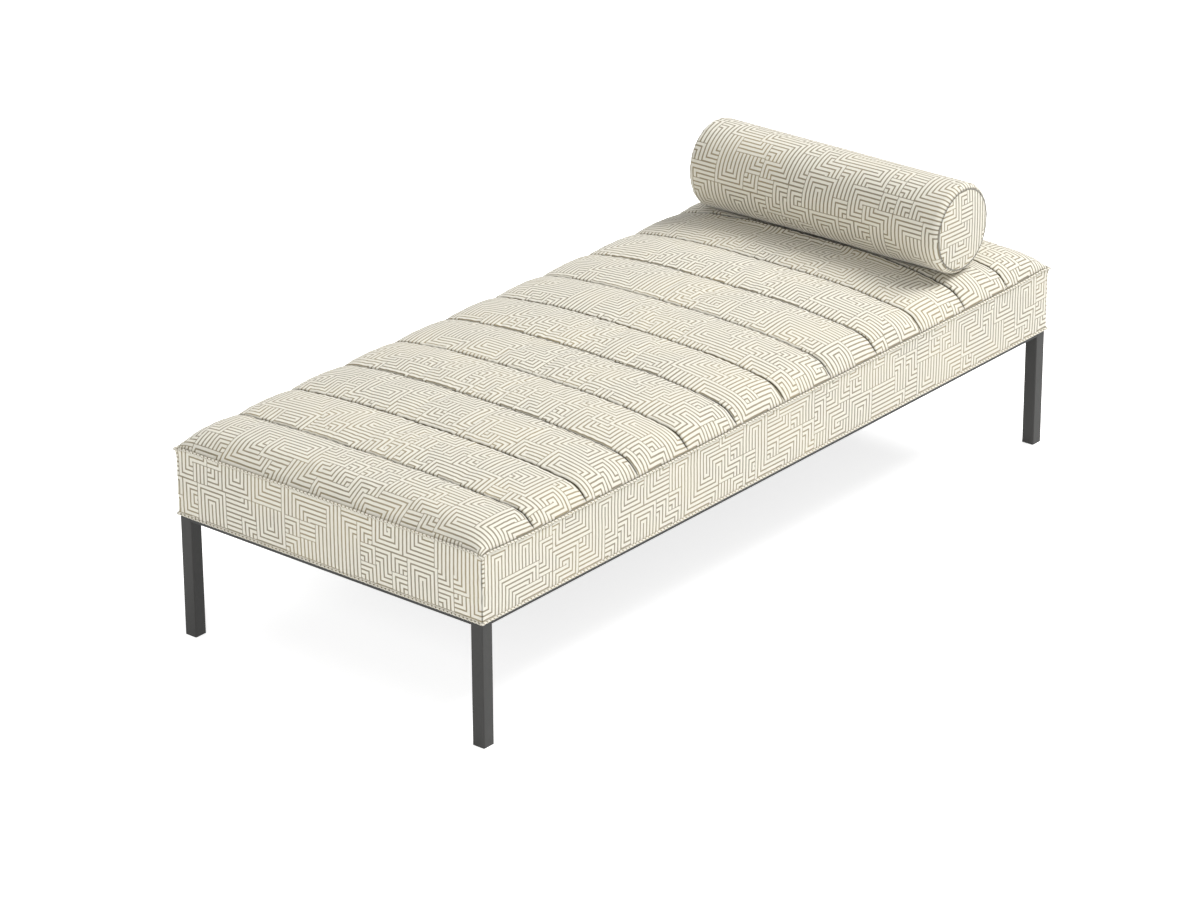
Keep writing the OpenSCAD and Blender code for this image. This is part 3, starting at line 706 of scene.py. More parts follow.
def seat_surface(sizes):
    """The finished top: puffed cloth, with its seams pulled in and small folds beside them."""
    grid, from_seam, seams = seat_grid(sizes)
    coarse = grid[::2, ::2]
    pinned = np.zeros(coarse.shape[:2], bool)
    pinned[np.abs(from_seam[::2]) < 0.0004] = True
    pinned[[0, -1]] = True
    pinned[:, [0, -1]] = True
    grid = grid + refined(settled(coarse, pinned))
    draw = np.random.default_rng(7)
    normal = surface_normals(grid)
    x, y = grid[:, :, 0], grid[:, :, 1]
    rim = np.minimum(TOP_X - np.abs(x), TOP_Y - np.abs(y))
    lift = np.zeros(y.shape)
    for seam in seams:
        for side in (-1, 1):
            here = (x - seam) * side
            folds = waves(draw, y, (0.0125, 0.0165, 0.023, 0.041))
            depth = (1 - np.exp(-here / 0.003)) * np.exp(-here / 0.015)
            lift += np.where((here >= 0) & (here < 0.07), folds * depth * sizes.pucker, 0)
    lift += waves(draw, x, (0.017, 0.026, 0.045)) * 0.0007 * unit(1 - rim / 0.05)
    lift += 0.0007 * waves(draw, x + 0.6 * y, (0.21, 0.33)) * waves(draw, y - 0.4 * x, (0.17, 0.29))
    lift -= sizes.groove_depth * bell(from_seam[:, None], sizes.groove_width)
    grid = grid + normal * (lift * unit(rim / 0.006))[:, :, None]
    reach = np.abs(y - BOLSTER_Y)
    squeezed = unit((0.37 - reach) / 0.2) * bell(x - BOLSTER_X + LIP_AT, LIP_WIDTH)
    swollen = bell(reach - SWELL_AT, SWELL_REACH) * bell(x - BOLSTER_X, SWELL_WIDTH)
    grid[:, :, 2] += LIP_RISE * squeezed + SWELL * swollen * shoulder(TOP_Y - np.abs(y), sizes)
    return drawn(hollowed(grid)), from_seam[:, None], rim, squeezed


def build_seat_top(sizes, colours):
    """The channelled top, and the stitches down in its seams."""
    grid, from_seam, rim, squeezed = seat_surface(sizes)
    rows, columns = grid.shape[:2]
    mid_channel = (sizes.channels - 1) * (rows - 1) // (2 * sizes.channels)
    u, v = field(run_length(grid[:, columns // 2]), run_length(grid[mid_channel]))
    quads = grid_faces(rows, columns)
    index = np.arange(rows * columns).reshape(rows, columns)
    edge = np.concatenate([index[0, :-1], index[:-1, -1], index[-1, :0:-1], index[:0:-1, 0]])
    bake = (pairs(u / u.max(), v / v.max()) * 0.99 + 0.005)[quads.ravel()]
    maps = {CLOTH_MAP: pairs(u, v), BAKE_MAP: np.concatenate([bake, np.full((len(edge), 2), 0.001)])}
    # Dark line along each channel seam: the thread, and painted shade down in its groove, wider where the
    # cloth is squeezed up in front of the bolster
    seam = bell(from_seam - 0.0005, 0.0017 * (1 + 0.7 * squeezed)) * unit(rim / 0.003)
    # Painted fold shade: a fainter dark line beside each seam on its foot side, near the long edges
    ends = unit((np.abs(grid[:, :, 1]) - TOP_Y + 0.06) / 0.03)
    seam = np.maximum(seam, 0.3 * ends * bell(from_seam + 0.0058, 0.0009))
    # Painted crease shade along the rim, where the top meets the top welt
    seam = np.maximum(seam, 0.1 * bell(rim, 0.0012))
    top = add_piece("seat_top", grid, [*quads.tolist(), edge.tolist()], seat_cloth(sizes, colours),
                    "fret_cloth", maps=maps, seam=seam)
    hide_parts("quilted_top")
    places, axes = [], []
    step = sizes.stitch * 1.28
    for k in range(1, sizes.channels):
        line = grid[k * (rows - 1) // sizes.channels]
        run = run_length(line)
        at = np.arange(step, run[-1] - step, step)
        spots = np.stack([np.interp(at, run, line[:, c]) for c in range(3)], -1)
        ahead = aimed(np.gradient(spots, axis=0))
        side = np.broadcast_to([1.0, 0.0, 0.0], ahead.shape)
        up = np.cross(side, ahead)
        places.append(spots + up * 0.0006)
        axes.append(np.stack([ahead, -side, up], 1))
    stitch = pill(sizes.stitch, 0.0011, 0.0009, 0.0005)
    add_piece("seat_stitches", *copies(stitch, np.concatenate(places), np.concatenate(axes)),
              thread_finish("Seam thread", colours.seam), "welt_cloth")


def side_profile(half, low, high):
    """Plan and height lines of a band, tucked in at its corners and under both welts, and the painted shade
    at its corner seams.
    """
    corner = 0.0042
    turn = np.radians([45, 30, 15])
    round_a = half - corner + corner * np.sin(turn)
    round_n = corner * np.cos(turn) - corner
    end_a = np.concatenate([round_a[0] - np.array([0.0022, 0.0006]), round_a])
    end_n = np.concatenate([round_n[0] - np.array([0.0022, 0.0006]), round_n])
    straight = np.linspace(-half + corner, half - corner, 2 * round(half / 0.0065) + 1)
    a = np.concatenate([-end_a, straight, end_a[::-1]])
    n = np.concatenate([end_n, 0 * straight, end_n[::-1]])
    level = np.linspace(low, high, 29)
    z = np.concatenate([[low - 0.0012], level, [high + 0.0012]])
    tuck = np.concatenate([[-0.0024], 0 * level, [-0.0024]])
    # Dark at the corner seams: the thread, and painted shade down in the crease
    corner_thread_and_shade = 0 * a
    corner_thread_and_shade[:5] = corner_thread_and_shade[-1:-6:-1] = 1.0, 1.0, 0.9, 0.35, 0.0
    return a, n, z, tuck, corner_thread_and_shade


def build_bands(sizes, colours):
    """The four side bands, each its own sewn panel."""
    low, high = BAND_LOW.z - 0.0004, BAND_HIGH.z + 0.0004
    draw = np.random.default_rng(19)
    panels = (("side_band_near", BAND_X, BAND_Y), ("end_band_head", BAND_Y, BAND_X),
              ("side_band_far", BAND_X, BAND_Y), ("end_band_foot", BAND_Y, BAND_X))
    for quarter, (name, half, out) in enumerate(panels):
        a, n, z, tuck, corner_thread_and_shade = side_profile(half, low, high)
        along, level = field(a, z)
        up = unit((level - low) / (high - low))
        from_corner = half - np.abs(along)
        bulge = sizes.band_bulge * np.sin(math.pi * up) ** 0.8 * unit(from_corner / 0.06) ** 0.5
        ripple = waves(draw, along, (0.013, 0.019, 0.031)) * np.exp(-(high - level) / 0.012)
        low_ripple = waves(draw, along, (0.017, 0.027)) * np.exp(-(level - low) / 0.010)
        fold = waves(draw, level + 0.25 * from_corner, (0.021, 0.034)) * np.exp(-from_corner / 0.02)
        slack = waves(draw, along, (0.19, 0.31)) * np.sin(math.pi * up)
        inner = np.sin(math.pi * up) ** 0.25
        stand = bulge + inner * (0.0004 * ripple + 0.0003 * low_ripple + 0.0005 * fold + 0.0004 * slack)
        face = out + n[:, None] + tuck + np.clip(stand, -0.0006, 0.0022)
        points = drawn(quarter_turn(joint_grid(along, -face, level), quarter))
        u, v = field(run_length(joint_grid(a, n)), z - z[0])
        maps = {CLOTH_MAP: pairs(u + quarter * 1.31, v + 0.37 * quarter),
                BAKE_MAP: folded_map(u, v, 3 if quarter % 2 else 6)}
        # The seam value: thread and painted shade at the corner seams, and painted shade where the band
        # tucks in under the welts
        panel = add_piece("cloth_" + name, points, grid_faces(*u.shape), seat_cloth(sizes, colours),
                          "fret_cloth", maps=maps, seam=0.85 * np.maximum(corner_thread_and_shade[:, None], 0.2 * (tuck < 0)))
        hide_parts(name)


def rounded_path(half_x, half_y, corner, z, step):
    """A closed rounded rectangle at one height, as points."""
    points = []
    turns = np.linspace(0, math.pi / 2, 7)[:-1]
    for quarter in range(4):
        across, out = (half_y, half_x) if quarter % 2 else (half_x, half_y)
        straight = np.linspace(-across + corner, across - corner, max(2, round(2 * across / step)))[:-1]
        along = np.concatenate([straight, across - corner + corner * np.sin(turns)])
        side = np.concatenate([0 * straight - out, corner - out - corner * np.cos(turns)])
        points.append(quarter_turn(joint_grid(along, side, z), quarter))
    return np.concatenate(points)


def build_welts(sizes, colours):
    """The covered cords in the top seam and along the bottom edge."""
    cloth = cloth_finish("Welt cloth", sizes, colours, plain=True)
    draw = np.random.default_rng(31)
    for name, node, z in (("cloth_top_welt", "top_welt", RIM_Z),
                          ("cloth_bottom_welt", "bottom_welt", BASE_Z + WELT_R)):
        path = rounded_path(WELT_X, WELT_Y, 0.004, z, 0.006)
        radius = WELT_R * (1 + 0.03 * waves(draw, run_length(path), (0.023, 0.061)))
        points, u, v = tube(path, radius, closed=True)
        # A faint darker line runs round the welt at two places on its girth
        welt = add_piece(name, drawn(points), grid_faces(*u.shape), cloth, "welt_cloth",
                         maps={CLOTH_MAP: pairs(u + 0.45 * v, v), BAKE_MAP: folded_map(u, v, 24)},
                         seam=0.06 * bell(np.sin(v / WELT_R - 0.6), 0.25))
        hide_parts(node)


# Bolster

def slump(low, y):
    """How far the bolster's underside hangs down, from its sides (low 0) to its lowest line (low 1)."""
    end = unit(np.abs(y - BOLSTER_Y) / BOLSTER_HALF)
    return (SLUMP + END_SLUMP * end ** 3) * low * (2 - low)


def at_bolster(radius, turn, y):
    """Points round the bolster's axis. The turn is measured from +X towards +Z."""
    low = unit(-np.sin(turn)) * radius / BOLSTER_R
    up = BOLSTER_Z + radius * np.sin(turn) - slump(low, y)
    return joint_grid(BOLSTER_X + radius * np.cos(turn), y, up)


def cover_profile():
    """Radius and length lines of the cover, from one end seam to the other."""
    full = math.acos((DISC_R - BOLSTER_R + EDGE_R) / EDGE_R)
    turn = np.linspace(full, 0, 11)
    radius = BOLSTER_R - EDGE_R + EDGE_R * np.cos(turn)
    inward = EDGE_R * (math.sin(full) - np.sin(turn))
    end_r = np.concatenate([DISC_R - np.array([0.0042, 0.0022, 0.0006]), radius])
    inward = np.concatenate([[0.0042, 0.0013, -0.0001], inward])
    near, far = NEAR_SEAM + inward, FAR_SEAM - inward[::-1]
    straight = np.linspace(near[-1], far[0], 105)[1:-1]
    radius = np.concatenate([end_r, np.full(len(straight), BOLSTER_R), end_r[::-1]])
    return radius, np.concatenate([near, straight, far])


def build_bolster(sizes, colours):
    """The bolster's cover, with its slit for the zip, and its end panels."""
    radius, along = cover_profile()
    tape_low, tape_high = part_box("zip_tape")
    zip_half = (tape_high.y - tape_low.y) / 2
    opening = unit((zip_half + 0.004 - np.abs(along)) / 0.012)
    slit_half = 0.013
    gap = ((0.0004 + slit_half * opening ** 0.6) / BOLSTER_R)[:, None]
    share = np.linspace(0, 1, 181)
    share = share - 0.06 * np.sin(2 * math.pi * share)
    turn = ZIP_TURN + gap + (2 * math.pi - 2 * gap) * share
    arc = turn * BOLSTER_R
    from_end = np.maximum(np.minimum(along - NEAR_SEAM, FAR_SEAM - along), 0)[:, None]
    draw = np.random.default_rng(43)
    gathers = waves(draw, arc, (GIRTH / 47, GIRTH / 31, GIRTH / 19))
    soft = waves(draw, along, (0.27, 0.41))[:, None] * waves(draw, arc, (GIRTH / 3, GIRTH / 2))
    dent = 0.0009 * gathers * np.exp(-from_end / 0.02) * (1 - np.exp(-from_end / 0.003))
    dent = dent + 0.0008 * soft - 0.0004
    edge = np.minimum(turn - ZIP_TURN, 2 * math.pi + ZIP_TURN - turn) * BOLSTER_R - gap * BOLSTER_R
    dent = dent - 0.0008 * np.exp(-edge / 0.004) * (edge > 0) + 0.0005 * bell(edge - 0.006, 0.004)
    dent[:, [0, -1]] -= 0.0016
    points = at_bolster(radius[:, None] + dent, turn, along[:, None] + BOLSTER_Y)
    run = run_length(joint_grid(along, radius))[:, None]
    u, v = np.broadcast_arrays(run, arc - ZIP_TURN * BOLSTER_R)
    maps = {CLOTH_MAP: pairs(u + 3.1, v + 1.7), BAKE_MAP: pairs(u / u.max(), v / v.max()) * 0.99 + 0.005}
    cloth = seat_cloth(sizes, colours)
    # Dark lines at the end seams: the thread, and painted shade down in the seam; and painted shade along
    # the edges of the zip slit, where the cover turns in
    seam = np.maximum(0.8 * bell(from_end, 0.0013), 0.6 * bell(edge, 0.0012))
    cover = add_piece("bolster_cloth", points, grid_faces(*u.shape), cloth, "fret_cloth",
                      "bolster", maps, seam)
    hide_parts("bolster_cover")
    for name, node, side, seam_y in (("bolster_cap_near", "bolster_disc_near", -1, NEAR_SEAM),
                                     ("bolster_cap_far", "bolster_disc_far", 1, FAR_SEAM)):
        build_cap(name, node, side, seam_y, cloth, draw)


def build_cap(name, node, side, seam_y, cloth, draw):
    """One round end panel, crowned, with its edge tucked into the seam."""
    out = np.array([1.0, 0.993, 0.978, 0.955, 0.92, 0.87, 0.8, 0.7, 0.58, 0.45, 0.32, 0.19, 0.08])
    rise = DISC_CROWN * (1 - out ** 2)
    rise[:3] -= 0.0042, 0.0014, 0.0003
    turn = np.linspace(0, 2 * math.pi, 97)
    pleat = waves(draw, turn, (2 * math.pi / 29, 2 * math.pi / 41))
    lift = rise[:, None] + 0.0006 * pleat * (np.exp(-(1 - out) * 12) * (out < 0.99))[:, None]
    ring = ((DISC_R - 0.0006) * out)[:, None]
    points = at_bolster(ring, turn, BOLSTER_Y + seam_y + side * lift)[:, :-1]
    flat, faces = capped(points, flip=side < 0)
    del faces[-2]  # The outer edge stays open, inside the seam
    spots = pairs(side * -(flat[:, 0] - BOLSTER_X), flat[:, 2] - BOLSTER_Z)
    maps = {CLOTH_MAP: spots + np.array([2.3 + side, 0.9]), BAKE_MAP: spots / (2 * DISC_R + 0.004) + 0.5}
    # Dark ring at the edge seam: the thread, and painted shade down in the seam
    seam = 0.8 * np.repeat(bell((1 - out) * DISC_R, 0.0009), points.shape[1])
    cap = add_piece(name, flat, faces, cloth, "fret_cloth", "bolster", maps, seam)
    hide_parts(node)


def build_zip(colours):
    """The zip's tape, teeth and stitches, and the metal of its slider and pull."""
    low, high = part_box("zip_tape")
    half, middle = (high.y - low.y) / 2, (high.y + low.y) / 2
    tape_r = BOLSTER_R - 0.0018
    across = np.linspace(0.0007, 0.0165, 12)
    level = tape_r + np.array([0.0011, 0.0013, 0.0002] + [0.0] * 9)
    y = np.linspace(middle - half, middle + half, 97)[:, None]
    strips = []
    for side in (-1, 1):
        strip = at_bolster(level, ZIP_TURN + side * across / tape_r + 0 * y, y)
        strips.append((strip, grid_faces(*strip.shape[:2])[:, ::side]))
    tape = add_piece("zip_tape_strips", *joined(strips),
                     fibre_finish("Zip tape weave", colours.tape, 1500.0, 0.0003), "zip_tape", "bolster")
    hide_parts("zip_tape")
    metal = plated_finish("Zip metal", colours.metal, 0.3)
    pitch, teeth_r = 0.0031, 0.0994
    outward = np.array([math.cos(ZIP_TURN), 0.0, math.sin(ZIP_TURN)])
    sideways = np.array([-math.sin(ZIP_TURN), 0.0, math.cos(ZIP_TURN)])
    along = np.array([0.0, 1.0, 0.0])
    places = []
    for side in (-1, 1):
        first = middle - half + 0.004 + (side > 0) * pitch / 2
        for place in np.arange(first, middle + half - 0.004, pitch):
            centre = np.array([BOLSTER_X, place, BOLSTER_Z])
            places.append(centre + outward * teeth_r + sideways * side * 0.00035)
    tooth = pill(0.0026, 0.0012, 0.0017, sides=8)
    teeth = add_piece("zip_teeth", *copies(tooth, places, [[-sideways, along, outward]] * len(places)),
                      metal, "zip_metal", "bolster")
    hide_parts("zip_tape")
    give_finish(metal, "zip_slider", "zip_pull")
    places, axes = [], []
    for side in (-1, 1):
        turn = ZIP_TURN + side * 0.0175 / BOLSTER_R
        out = np.array([math.cos(turn), 0.0, math.sin(turn)])
        for place in np.arange(middle - half - 0.002, middle + half + 0.004, 0.0043):
            places.append(np.array([BOLSTER_X, place, BOLSTER_Z]) + out * (BOLSTER_R - 0.0008))
            axes.append([along, np.cross(out, along), out])
    add_piece("zip_stitches", *copies(pill(0.0034, 0.0008, 0.0006, 0.0003), places, axes),
              thread_finish("Zip thread", colours.tape), "welt_cloth", "bolster")


def build_filling(colours):
    """The bolster's round pad of wadding, inside its cover."""
    low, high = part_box("bolster_pad")
    full, half = (high.z - low.z) / 2, (high.y - low.y) / 2
    share = np.concatenate([np.linspace(0.04, 1, 10), np.ones(30), np.linspace(1, 0.04, 10)])
    y = np.concatenate([np.full(10, -half), np.linspace(-half, half, 32)[1:-1], np.full(10, half)])
    edge = unit((half - np.abs(y)) / 0.02)
    radius = np.minimum(share * full, full * (0.86 + 0.14 * np.sqrt(1 - (1 - edge) ** 2))) - 0.003
    y = y * (1 - 0.006 / half) - np.sign(y) * DISC_CROWN * share ** 2
    turn = np.linspace(0, 2 * math.pi, 65)[:-1]
    grid = at_bolster(radius[:, None], turn, BOLSTER_Y + y[:, None])
    wadding = fibre_finish("Wadding", colours.foam, 260.0, 0.001)
    pad = add_piece("bolster_filling", *capped(grid), wadding, "foam", "bolster")
    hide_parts("bolster_pad")


# Inside and under the seat

def build_foam(colours):
    """The foam block, its sides slightly soft."""
    low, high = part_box("foam_core")
    rings = []
    for share in np.linspace(0, 1, 9):
        soft = 0.002 * (1 - math.sin(math.pi * min(max(share, 0.08), 0.92)))
        rings.append(rounded_path(high.x - 0.001 - soft, high.y - 0.001 - soft, 0.006,
                                  low.z + (high.z - 0.001 - low.z) * share, 0.05))
    foam = fibre_finish("Foam", colours.foam, 700.0, 0.0008)
    block = add_piece("foam_block", *capped(np.array(rings), flip=True), foam, "foam", smooth=False)
    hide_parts("foam_core")


def strap_line(half, places, width, lift, first):
    """A strap's run: level on the boards, over one crossing and under the next."""
    ends, heights = [-half, places[0] - width], [0.0, 0.0]
    for i, place in enumerate(places):
        ends += [place - width * 0.65, place + width * 0.65]
        heights += [lift if (i + first) % 2 == 0 else -lift] * 2
    ends += [places[-1] + width, half]
    heights += [0.0, 0.0]
    along = np.linspace(-half, half, 2 * round(half / 0.008) + 1)
    return along[:, None], np.interp(along, ends, heights)[:, None]


def build_webbing(colours):
    """The woven straps on the timber box, five along and thirteen across."""
    webbing = fibre_finish("Elastic webbing", colours.webbing, 1100.0, 0.0005)
    low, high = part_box("long_strap_1")
    width, thick = high.y - low.y, 0.0018
    middle, lift = (low.z + high.z) / 2, (high.z - low.z - thick) / 2
    well_x, well_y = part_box("end_board_head")[0].x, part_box("side_board_far")[0].y
    long_at = [(i - 2) * 2 * well_y / 5 for i in range(5)]
    cross_at = [(i - 6) * 2 * well_x / 13 for i in range(13)]
    turn = np.linspace(0, 2 * math.pi, 25)[:-1]
    flat = np.sign(np.cos(turn)) * np.abs(np.cos(turn)) ** 0.25 * (width / 2 - 0.0004)
    rise = np.sign(np.sin(turn)) * np.abs(np.sin(turn)) ** 0.35 * (thick / 2)
    for name, nodes, half, crossings, offsets, across in (
            ("long_webbing", [f"long_strap_{i}" for i in range(1, 6)], high.x, cross_at, long_at, 0),
            ("cross_webbing", ["cross_straps"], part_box("cross_straps")[1].y, long_at, cross_at, 1)):
        straps = []
        for k, off in enumerate(offsets):
            along, height = strap_line(half, crossings, width, lift, k + across)
            grid = joint_grid(along, off + flat, middle + height + rise)
            straps.append(capped(grid[:, :, [1, 0, 2]] if across else grid, flip=not across))
        piece = add_piece(name, *joined(straps), webbing, "webbing")
        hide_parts(*nodes)


def build_dust_cover(colours):
    """The black cloth under the seat, stretched and stapled to the box."""
    low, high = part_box("dust_cover")
    black = fibre_finish("Dust cover cloth", colours.dust, 620.0, 0.0004, 0.95)
    half_x, half_y = high.x - 0.0005, high.y - 0.0005
    x, y = field(np.linspace(-half_x, half_x, 159), np.linspace(-half_y, half_y, 69))
    draw = np.random.default_rng(5)
    room = unit((half_x - np.abs(x) - 0.03) / 0.1) * unit((half_y - np.abs(y) - 0.03) / 0.1)
    bars = unit((np.abs(np.abs(x) - BAR_X) - 0.018) / 0.06)
    sag = room * bars * (0.0025 + 0.0009 * waves(draw, x + 0.5 * y, (0.13, 0.21)))
    cloth = add_piece("dust_cloth", joint_grid(x, y, low.z + 0.0006 - sag), grid_faces(*x.shape)[:, ::-1],
                      black, "dust_cloth")
    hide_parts("dust_cover")


def build_welds(steel):
    """Rippled weld beads under the frame, where its bars and plates meet."""
    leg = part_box("leg_head_far")[0]
    plate_low, plate_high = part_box("corner_plate_head_far")
    rail_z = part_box("side_rail_near")[0].z
    quarter = (
        ((leg.x, leg.y + 0.002, rail_z), (leg.x, leg.y + 0.028, rail_z)),
        ((leg.x + 0.002, leg.y, rail_z), (leg.x + 0.028, leg.y, rail_z)),
        ((BAR_LOW.x + 0.002, leg.y, BAR_LOW.z), (BAR_HIGH.x - 0.002, leg.y, BAR_LOW.z)),
        ((plate_low.x + 0.004, leg.y, plate_low.z), (plate_high.x - 0.006, leg.y, plate_low.z)),
        ((leg.x, plate_low.y + 0.004, plate_low.z), (leg.x, plate_high.y - 0.006, plate_low.z)))
    beads = []
    for flip in ((-1, -1, 1), (-1, 1, 1), (1, -1, 1), (1, 1, 1)):
        for ends in quarter:
            start, end = np.array(ends) * flip
            share = np.linspace(0, 1, 41)[:, None]
            path = start + (end - start) * share + np.array([0, 0, 0.0002])
            ripple = 0.0015 + 0.0003 * np.abs(np.sin(share[:, 0] * np.linalg.norm(end - start) * 1400))
            radius = ripple * np.clip(np.minimum(share, 1 - share)[:, 0] / 0.06, 0.15, 1) ** 0.5
            bead = tube(path, radius, 10)[0]
            beads.append((bead, grid_faces(*bead.shape[:2])))
    add_piece("weld_beads", *joined(beads), steel, "black_steel")


def build_staples(colours):
    """Staples round the edge of the dust cover, of which only the crowns show."""
    inset, level = 0.004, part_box("dust_cover")[0].z + 0.0001
    well_x, well_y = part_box("leg_head_far")[0].x - 0.09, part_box("leg_head_far")[0].y
    places, axes = [], []
    for sign in (-1, 1):
        for x in np.arange(-well_x, well_x, 0.06):
            if abs(abs(x) - BAR_X) > 0.03:
                places.append((x, sign * (well_y - inset), level))
                axes.append(((0.94, 0.34 * sign, 0), (-0.34 * sign, 0.94, 0), (0, 0, 1)))
    add_piece("dust_cover_staples", *copies(pill(0.011, 0.0011, 0.0007, rings=7), places, axes),
              plated_finish("Staple wire", colours.zinc, 0.35), "zinc_steel")


# Finishes of the CAD pieces

def named(places, *parts):
    """The CAD nodes of some parts, with one of each part at every place."""
    return [f"{part}_{place}" for part in parts for place in places]


def build_steel_base(colours):
    """The powder coat on the steel base, and its welds."""
    steel = steel_finish(colours)
    give_finish(steel, *named(CORNERS, "leg", "corner_plate"), *named(ENDS, "end_rail", "cross_bar"),
                *named(SIDES, "side_rail"))
    build_welds(steel)


def finish_fittings(colours):
    """Moulded glides and zinc plated screws."""
    give_finish(moulded_finish(colours), *named(CORNERS, "glide"))
    give_finish(plated_finish("Zinc plate", colours.zinc, 0.28), "frame_screws")


def finish_timber(colours):
    """Softwood, with its grain along each board."""
    give_finish(timber_finish("Softwood along", colours, (1.2, 22.0, 22.0)), *named(SIDES, "side_board"))
    give_finish(timber_finish("Softwood across", colours, (22.0, 1.2, 22.0)), "box_dowels",
                *named(ENDS, "end_board", "stretcher"), *named(CORNERS, "corner_block"))


# Studio

def build_stage(colours):
    """The floor, the lamps, the world and the camera."""
    scene = bpy.context.scene
    mesh = bpy.data.meshes.new("studio_floor")
    spots = ((-1, -1), (1, -1), (1, 1), (-1, 1))
    mesh.from_pydata([(x * FLOOR_REACH, y * FLOOR_REACH, 0) for x, y in spots], [], [(0, 1, 2, 3)])
    mesh.materials.append(floor_finish(colours))
    floor = bpy.data.objects.new("studio_floor", mesh)
    scene.collection.objects.link(floor)
    for name, place, size, watts in LAMPS:
        lamp = bpy.data.lights.new(name, "AREA")
        lamp.shape, lamp.size, lamp.energy = "DISK", size, watts
        piece = bpy.data.objects.new(name, lamp)
        piece.location = place
        piece.rotation_euler = (Vector(LAMP_AIM) - Vector(place)).to_track_quat("-Z", "Y").to_euler()
        scene.collection.objects.link(piece)
    scene.world = studio_world()
    scene.view_settings.view_transform = "Standard"
    camera = bpy.data.cameras.new("Camera")
    camera.lens, camera.sensor_width, camera.clip_end = LENS, SENSOR, 200.0
    view = bpy.data.objects.new("Camera", camera)
    view.location = CAMERA_PLACE
    view.rotation_euler = [math.radians(turn) for turn in CAMERA_TURNS]
    scene.collection.objects.link(view)
    scene.camera = view


# Operators

class DIVAN_OT_stage(bpy.types.Operator):
    """Builds the floor, the soft studio light and the camera"""
    bl_idname = "divan.stage"
    bl_label = "Stage"

    def execute(self, context):
        build_stage(context.scene.divan_colours)
        return {"FINISHED"}


class DIVAN_OT_steel_base(bpy.types.Operator):
    """Gives the legs, rails, cross bars and corner plates their powder coat, and adds the welds"""
    bl_idname = "divan.steel_base"
    bl_label = "Steel base"

    def execute(self, context):
        build_steel_base(context.scene.divan_colours)
        return {"FINISHED"}


class DIVAN_OT_fittings(bpy.types.Operator):
    """Gives the glides and the frame screws their finishes"""
    bl_idname = "divan.fittings"
    bl_label = "Glides and screws"

    def execute(self, context):
        finish_fittings(context.scene.divan_colours)
        return {"FINISHED"}


class DIVAN_OT_timber_box(bpy.types.Operator):
    """Gives the timber box its softwood, with the grain along each board"""
    bl_idname = "divan.timber_box"
    bl_label = "Timber box"

    def execute(self, context):
        finish_timber(context.scene.divan_colours)
        return {"FINISHED"}


class DIVAN_OT_webbing(bpy.types.Operator):
    """Builds the woven elastic webbing and the foam on it"""
    bl_idname = "divan.webbing"
    bl_label = "Webbing and foam"

    def execute(self, context):
        build_webbing(context.scene.divan_colours)
        build_foam(context.scene.divan_colours)
        return {"FINISHED"}


class DIVAN_OT_dust_cover(bpy.types.Operator):
    """Builds the cloth under the seat and its staples"""
    bl_idname = "divan.dust_cover"
    bl_label = "Dust cover"

    def execute(self, context):
        build_dust_cover(context.scene.divan_colours)
        build_staples(context.scene.divan_colours)
        return {"FINISHED"}


class DIVAN_OT_seat_top(bpy.types.Operator):
    """Builds the channelled top and the stitches down in its seams"""
    bl_idname = "divan.seat_top"
    bl_label = "Seat top"

    def execute(self, context):
        build_seat_top(context.scene.divan_sizes, context.scene.divan_colours)
        return {"FINISHED"}


class DIVAN_OT_side_bands(bpy.types.Operator):
    """Builds the four side bands"""
    bl_idname = "divan.side_bands"
    bl_label = "Side bands"

    def execute(self, context):
        build_bands(context.scene.divan_sizes, context.scene.divan_colours)
        return {"FINISHED"}


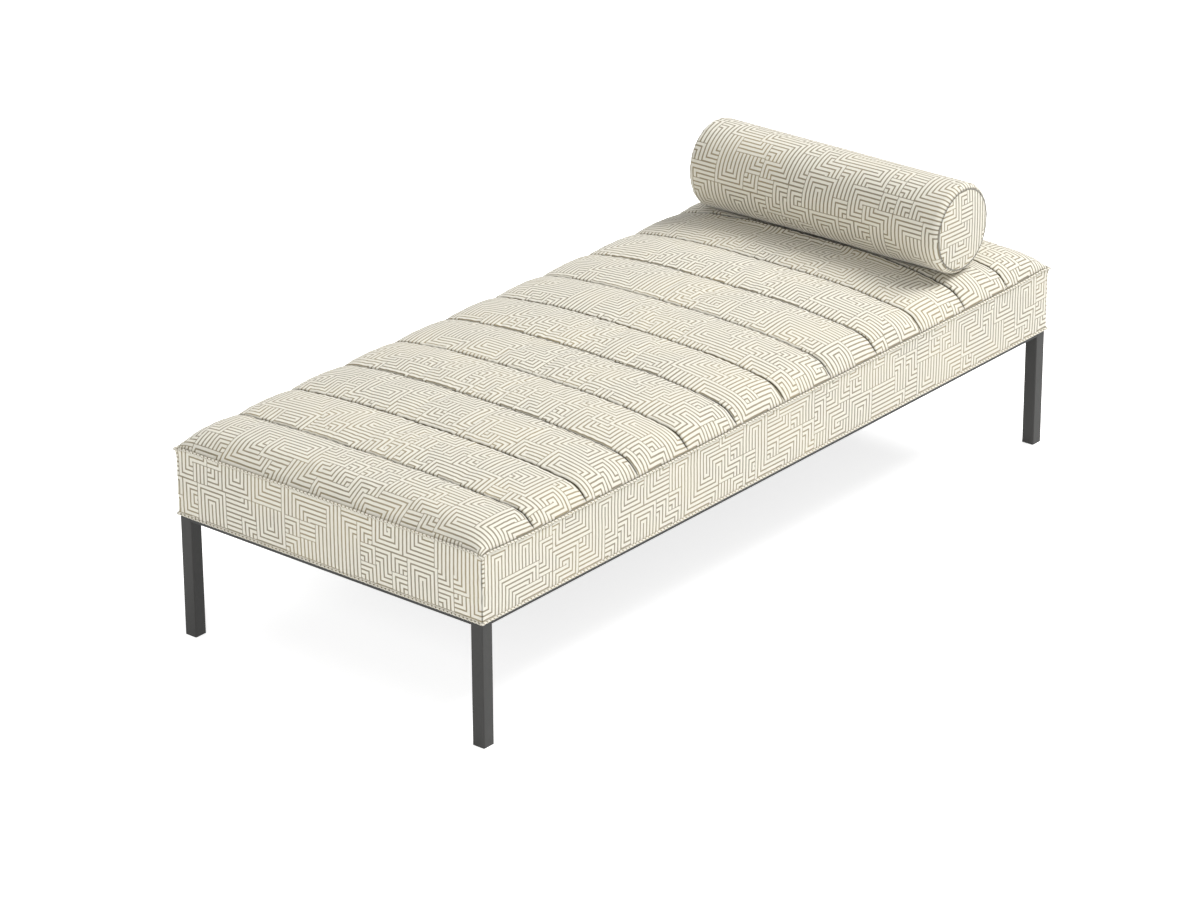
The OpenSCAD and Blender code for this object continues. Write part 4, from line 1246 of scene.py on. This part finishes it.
class DIVAN_OT_welts(bpy.types.Operator):
    """Builds the welts along the top seam and the bottom edge"""
    bl_idname = "divan.welts"
    bl_label = "Welts"

    def execute(self, context):
        build_welts(context.scene.divan_sizes, context.scene.divan_colours)
        return {"FINISHED"}


class DIVAN_OT_bolster(bpy.types.Operator):
    """Builds the bolster's cover, its end panels and its filling"""
    bl_idname = "divan.bolster"
    bl_label = "Bolster"

    def execute(self, context):
        build_bolster(context.scene.divan_sizes, context.scene.divan_colours)
        build_filling(context.scene.divan_colours)
        return {"FINISHED"}


class DIVAN_OT_zip(bpy.types.Operator):
    """Builds the zip's tape, teeth and stitches, and finishes its slider and pull"""
    bl_idname = "divan.zip"
    bl_label = "Zip"

    def execute(self, context):
        build_zip(context.scene.divan_colours)
        return {"FINISHED"}


OPERATORS = (
    DIVAN_OT_stage, DIVAN_OT_steel_base, DIVAN_OT_fittings, DIVAN_OT_timber_box, DIVAN_OT_webbing,
    DIVAN_OT_dust_cover, DIVAN_OT_seat_top, DIVAN_OT_side_bands, DIVAN_OT_welts, DIVAN_OT_bolster,
    DIVAN_OT_zip)


class DIVAN_PT_panel(bpy.types.Panel):
    """Lists the divan's sizes, colours and pieces in the sidebar"""
    bl_idname = "DIVAN_PT_panel"
    bl_label = "Backless divan"
    bl_space_type = "VIEW_3D"
    bl_region_type = "UI"
    bl_category = "Divan"

    def draw(self, context):
        for group in (context.scene.divan_sizes, context.scene.divan_colours):
            for name in group.__annotations__:
                self.layout.prop(group, name)
        for operator in OPERATORS:
            self.layout.operator(operator.bl_idname)


CLASSES = (DivanSizes, DivanColours, *OPERATORS, DIVAN_PT_panel)


def register():
    for item in CLASSES:
        bpy.utils.register_class(item)
    bpy.types.Scene.divan_sizes = bpy.props.PointerProperty(type=DivanSizes)
    bpy.types.Scene.divan_colours = bpy.props.PointerProperty(type=DivanColours)


def unregister():
    del bpy.types.Scene.divan_colours
    del bpy.types.Scene.divan_sizes
    for item in reversed(CLASSES):
        bpy.utils.unregister_class(item)


def main():
    """Builds every piece in order."""
    register()
    for operator in OPERATORS:
        getattr(bpy.ops.divan, operator.bl_idname.split(".")[1])()


if __name__ == "__main__":
    main()
